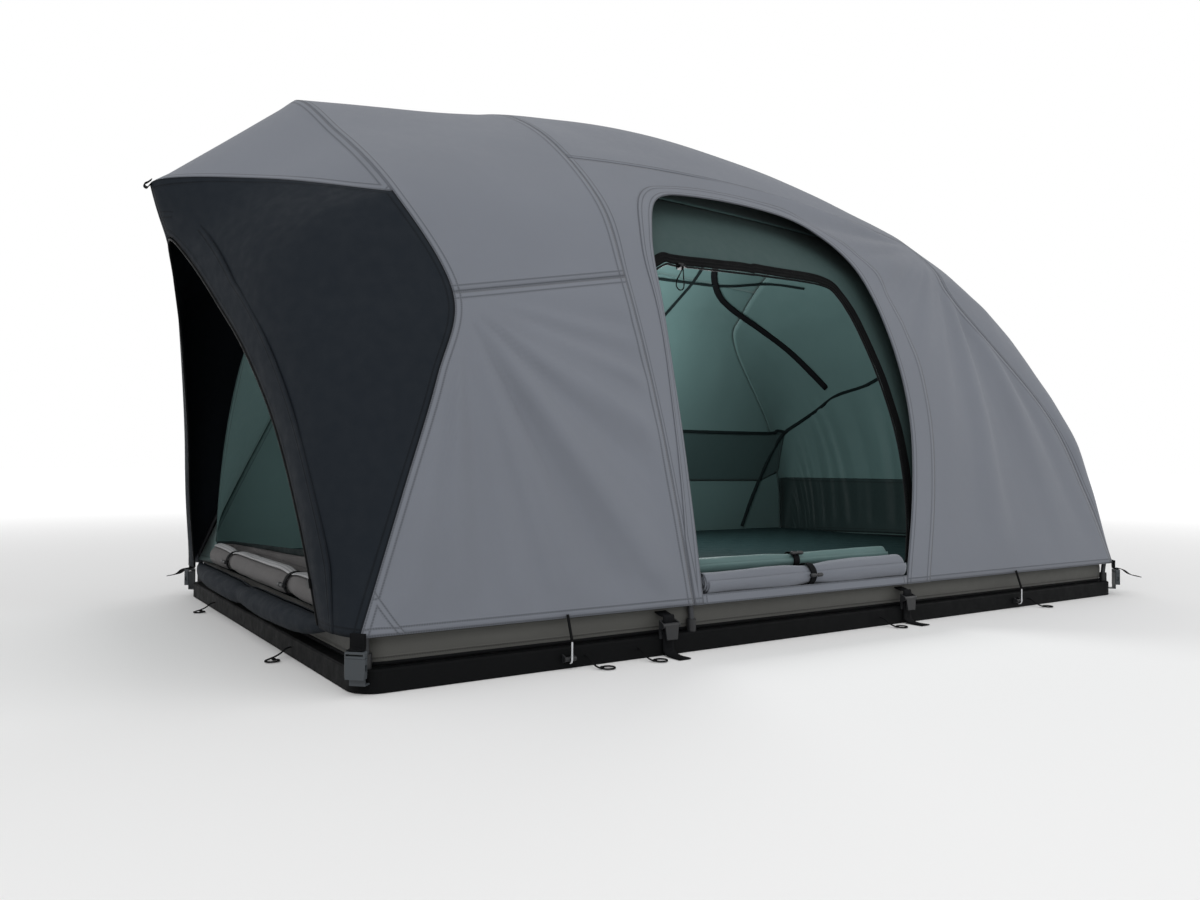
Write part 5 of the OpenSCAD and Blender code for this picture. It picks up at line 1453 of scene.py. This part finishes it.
def build_stage():
    scene = bpy.context.scene
    scene.view_settings.view_transform = "Standard"
    bm = bmesh.new()
    bmesh.ops.create_grid(bm, x_segments=1, y_segments=1, size=FLOOR_HALF)
    bmesh.ops.translate(bm, verts=bm.verts[:], vec=(0, 0, FLOOR_Z))
    made, tree, shader = new_material("Floor")
    reach = node(tree, "ShaderNodeVectorMath", {0: object_place(tree)}, operation="LENGTH").outputs["Value"]
    glow = ranged(tree, reach, 0.0, 1.0, GLOW_FROM, GLOW_TO, interpolation_type="SMOOTHSTEP")
    feed(tree, shader, {"Base Color": blended(tree, glow, settings()[1].floor, BLACK),
                        "Emission Color": blended(tree, glow, BLACK, WHITE), "Emission Strength": 1.0,
                        "Roughness": .9})
    to_object(bm, "floor", made)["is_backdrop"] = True
    build_world(scene)
    lamp("key", (-3.2, -4.4, 4.6), (0, 0, .5), size=4.5, watts=150)
    lamp("fill", (4.5, -3.2, 2.6), (.3, 0, .5), size=4.0, watts=45)
    inside = bpy.data.lights.new("inside", "POINT")
    inside.energy, inside.shadow_soft_size = 17.0, .22
    put_lamp(inside, (.05, .02, .62), (0, 0, 0))
    build_camera(scene)


def build_world(scene):
    """White all round, which lights the tent less than it shows to the camera and in reflections."""
    world = bpy.data.worlds.new("Studio")
    scene.world = world
    world.use_nodes = True
    tree = world.node_tree
    tree.nodes.clear()
    light, seen = (node(tree, "ShaderNodeBackground", {"Color": (*WHITE, 1), "Strength": strength}).outputs[0]
                   for strength in (WORLD_LIGHT, WORLD_SEEN))
    rays = node(tree, "ShaderNodeLightPath").outputs
    bare = most(tree, [rays[f"Is {kind} Ray"] for kind in ("Camera", "Transmission", "Glossy")])
    both = node(tree, "ShaderNodeMixShader", {0: bare, 1: light, 2: seen})
    node(tree, "ShaderNodeOutputWorld", {"Surface": both.outputs[0]})


def lamp(name, at, target, size, watts):
    data = bpy.data.lights.new(name, "AREA")
    data.shape, data.size, data.energy = "SQUARE", size, watts
    put_lamp(data, at, (Vector(target) - Vector(at)).to_track_quat("-Z", "Y").to_euler())


def put_lamp(data, at, turn):
    obj = bpy.data.objects.new(data.name, data)
    obj.location, obj.rotation_euler = at, turn
    obj.visible_camera = False
    bpy.context.scene.collection.objects.link(obj)


# The photograph's camera: its turn in degrees, its place, and its lens on a 36 mm sensor
YAW, PITCH, ROLL = 33.72, 1.03, .30
CAMERA_AT, LENS, SENSOR = (-1.511, -1.96, .336), 27.94, 36


def build_camera(scene):
    yaw, pitch, roll = (math.radians(angle) for angle in (YAW, PITCH, ROLL))
    right = Vector((math.cos(yaw), -math.sin(yaw), 0))
    ahead = Vector((math.sin(yaw) * math.cos(pitch), math.cos(yaw) * math.cos(pitch), math.sin(pitch)))
    up = right.cross(ahead)
    level, tilt = math.cos(roll), math.sin(roll)
    data = bpy.data.cameras.new("Photo view")
    data.sensor_fit, data.sensor_width, data.lens = "HORIZONTAL", SENSOR, LENS
    data.clip_end = 200
    obj = bpy.data.objects.new("Photo view", data)
    turned = Matrix((right * level + up * tilt, up * level - right * tilt, -ahead)).transposed().to_4x4()
    turned.translation = CAMERA_AT
    obj.matrix_world = turned
    scene.collection.objects.link(obj)
    scene.camera = obj


# Operators and panel
class TentStep:
    """What the steps of the build share"""
    bl_options = {"REGISTER", "UNDO"}


class TENT_OT_stage(TentStep, bpy.types.Operator):
    """Floor, light and the camera of the photograph"""
    bl_idname = "tent.stage"
    bl_label = "Stage"

    def execute(self, context):
        build_stage()
        return {"FINISHED"}


class TENT_OT_cords(TentStep, bpy.types.Operator):
    """Thin tie cords and hem elastics"""
    bl_idname = "tent.cords"
    bl_label = "Cords"

    def execute(self, context):
        build_cords()
        return {"FINISHED"}


class TENT_OT_base(TentStep, bpy.types.Operator):
    """Base finish, tub cloth and mattress cover"""
    bl_idname = "tent.base"
    bl_label = "Base"

    def execute(self, context):
        build_base()
        return {"FINISHED"}


class TENT_OT_poles(TentStep, bpy.types.Operator):
    """Hoop poles, ridge pole and their fittings"""
    bl_idname = "tent.poles"
    bl_label = "Poles"

    def execute(self, context):
        build_poles()
        return {"FINISHED"}


class TENT_OT_fly(TentStep, bpy.types.Operator):
    """Grey roof, walls, brow and nose of the fly"""
    bl_idname = "tent.fly"
    bl_label = "Fly"

    def execute(self, context):
        build_fly()
        return {"FINISHED"}


class TENT_OT_rear(TentStep, bpy.types.Operator):
    """Black rear panels, the arch facing and the beak loop"""
    bl_idname = "tent.rear"
    bl_label = "Rear panels"

    def execute(self, context):
        build_rear()
        return {"FINISHED"}


class TENT_OT_side_doors(TentStep, bpy.types.Operator):
    """Side panels, their facings and the closed far door"""
    bl_idname = "tent.side_doors"
    bl_label = "Side doors"

    def execute(self, context):
        build_side_doors()
        return {"FINISHED"}


class TENT_OT_inner(TentStep, bpy.types.Operator):
    """Panels of the inner tent, with the strips and bindings sewn on them"""
    bl_idname = "tent.inner"
    bl_label = "Inner tent"

    def execute(self, context):
        build_inner()
        return {"FINISHED"}


class TENT_OT_rolls(TentStep, bpy.types.Operator):
    """Rolled doors with their ties and toggles"""
    bl_idname = "tent.rolls"
    bl_label = "Rolled doors"

    def execute(self, context):
        build_rolls()
        return {"FINISHED"}


class TENT_OT_zips(TentStep, bpy.types.Operator):
    """Zip tape, coils, sliders and the pull's cord loop"""
    bl_idname = "tent.zips"
    bl_label = "Zips"

    def execute(self, context):
        build_zips()
        return {"FINISHED"}


class TENT_OT_straps(TentStep, bpy.types.Operator):
    """Corner and lash straps with their buckles"""
    bl_idname = "tent.straps"
    bl_label = "Straps"

    def execute(self, context):
        build_straps()
        return {"FINISHED"}


STEPS = (TENT_OT_stage, TENT_OT_cords, TENT_OT_base, TENT_OT_poles, TENT_OT_fly, TENT_OT_rear, TENT_OT_side_doors,
         TENT_OT_inner, TENT_OT_rolls, TENT_OT_zips, TENT_OT_straps)


class TENT_PT_panel(bpy.types.Panel):
    """Builds the tent group by group"""
    bl_idname = "TENT_PT_panel"
    bl_label = "Roof top tent"
    bl_space_type = "VIEW_3D"
    bl_region_type = "UI"
    bl_category = "Tent"

    def draw(self, context):
        for step in STEPS:
            self.layout.operator(step.bl_idname)
        for values in (context.scene.tent_sizes, context.scene.tent_colours):
            box = self.layout.box()
            for key in values.__annotations__:
                box.prop(values, key)


CLASSES = (TentColours, TentSizes, *STEPS, TENT_PT_panel)


def register():
    for cls in CLASSES:
        bpy.utils.register_class(cls)
    bpy.types.Scene.tent_colours = bpy.props.PointerProperty(type=TentColours)
    bpy.types.Scene.tent_sizes = bpy.props.PointerProperty(type=TentSizes)


def unregister():
    del bpy.types.Scene.tent_sizes, bpy.types.Scene.tent_colours
    for cls in reversed(CLASSES):
        bpy.utils.unregister_class(cls)


def plain(box):
    return [[float(c) for c in corner] for corner in box]


def main():
    cad_box = plain(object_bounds())
    register()
    for step in STEPS:
        getattr(bpy.ops.tent, step.bl_idname.split(".")[1])()
    {"cad": cad_box, "visual": plain(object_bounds())}


if __name__ == "__main__":
    main()
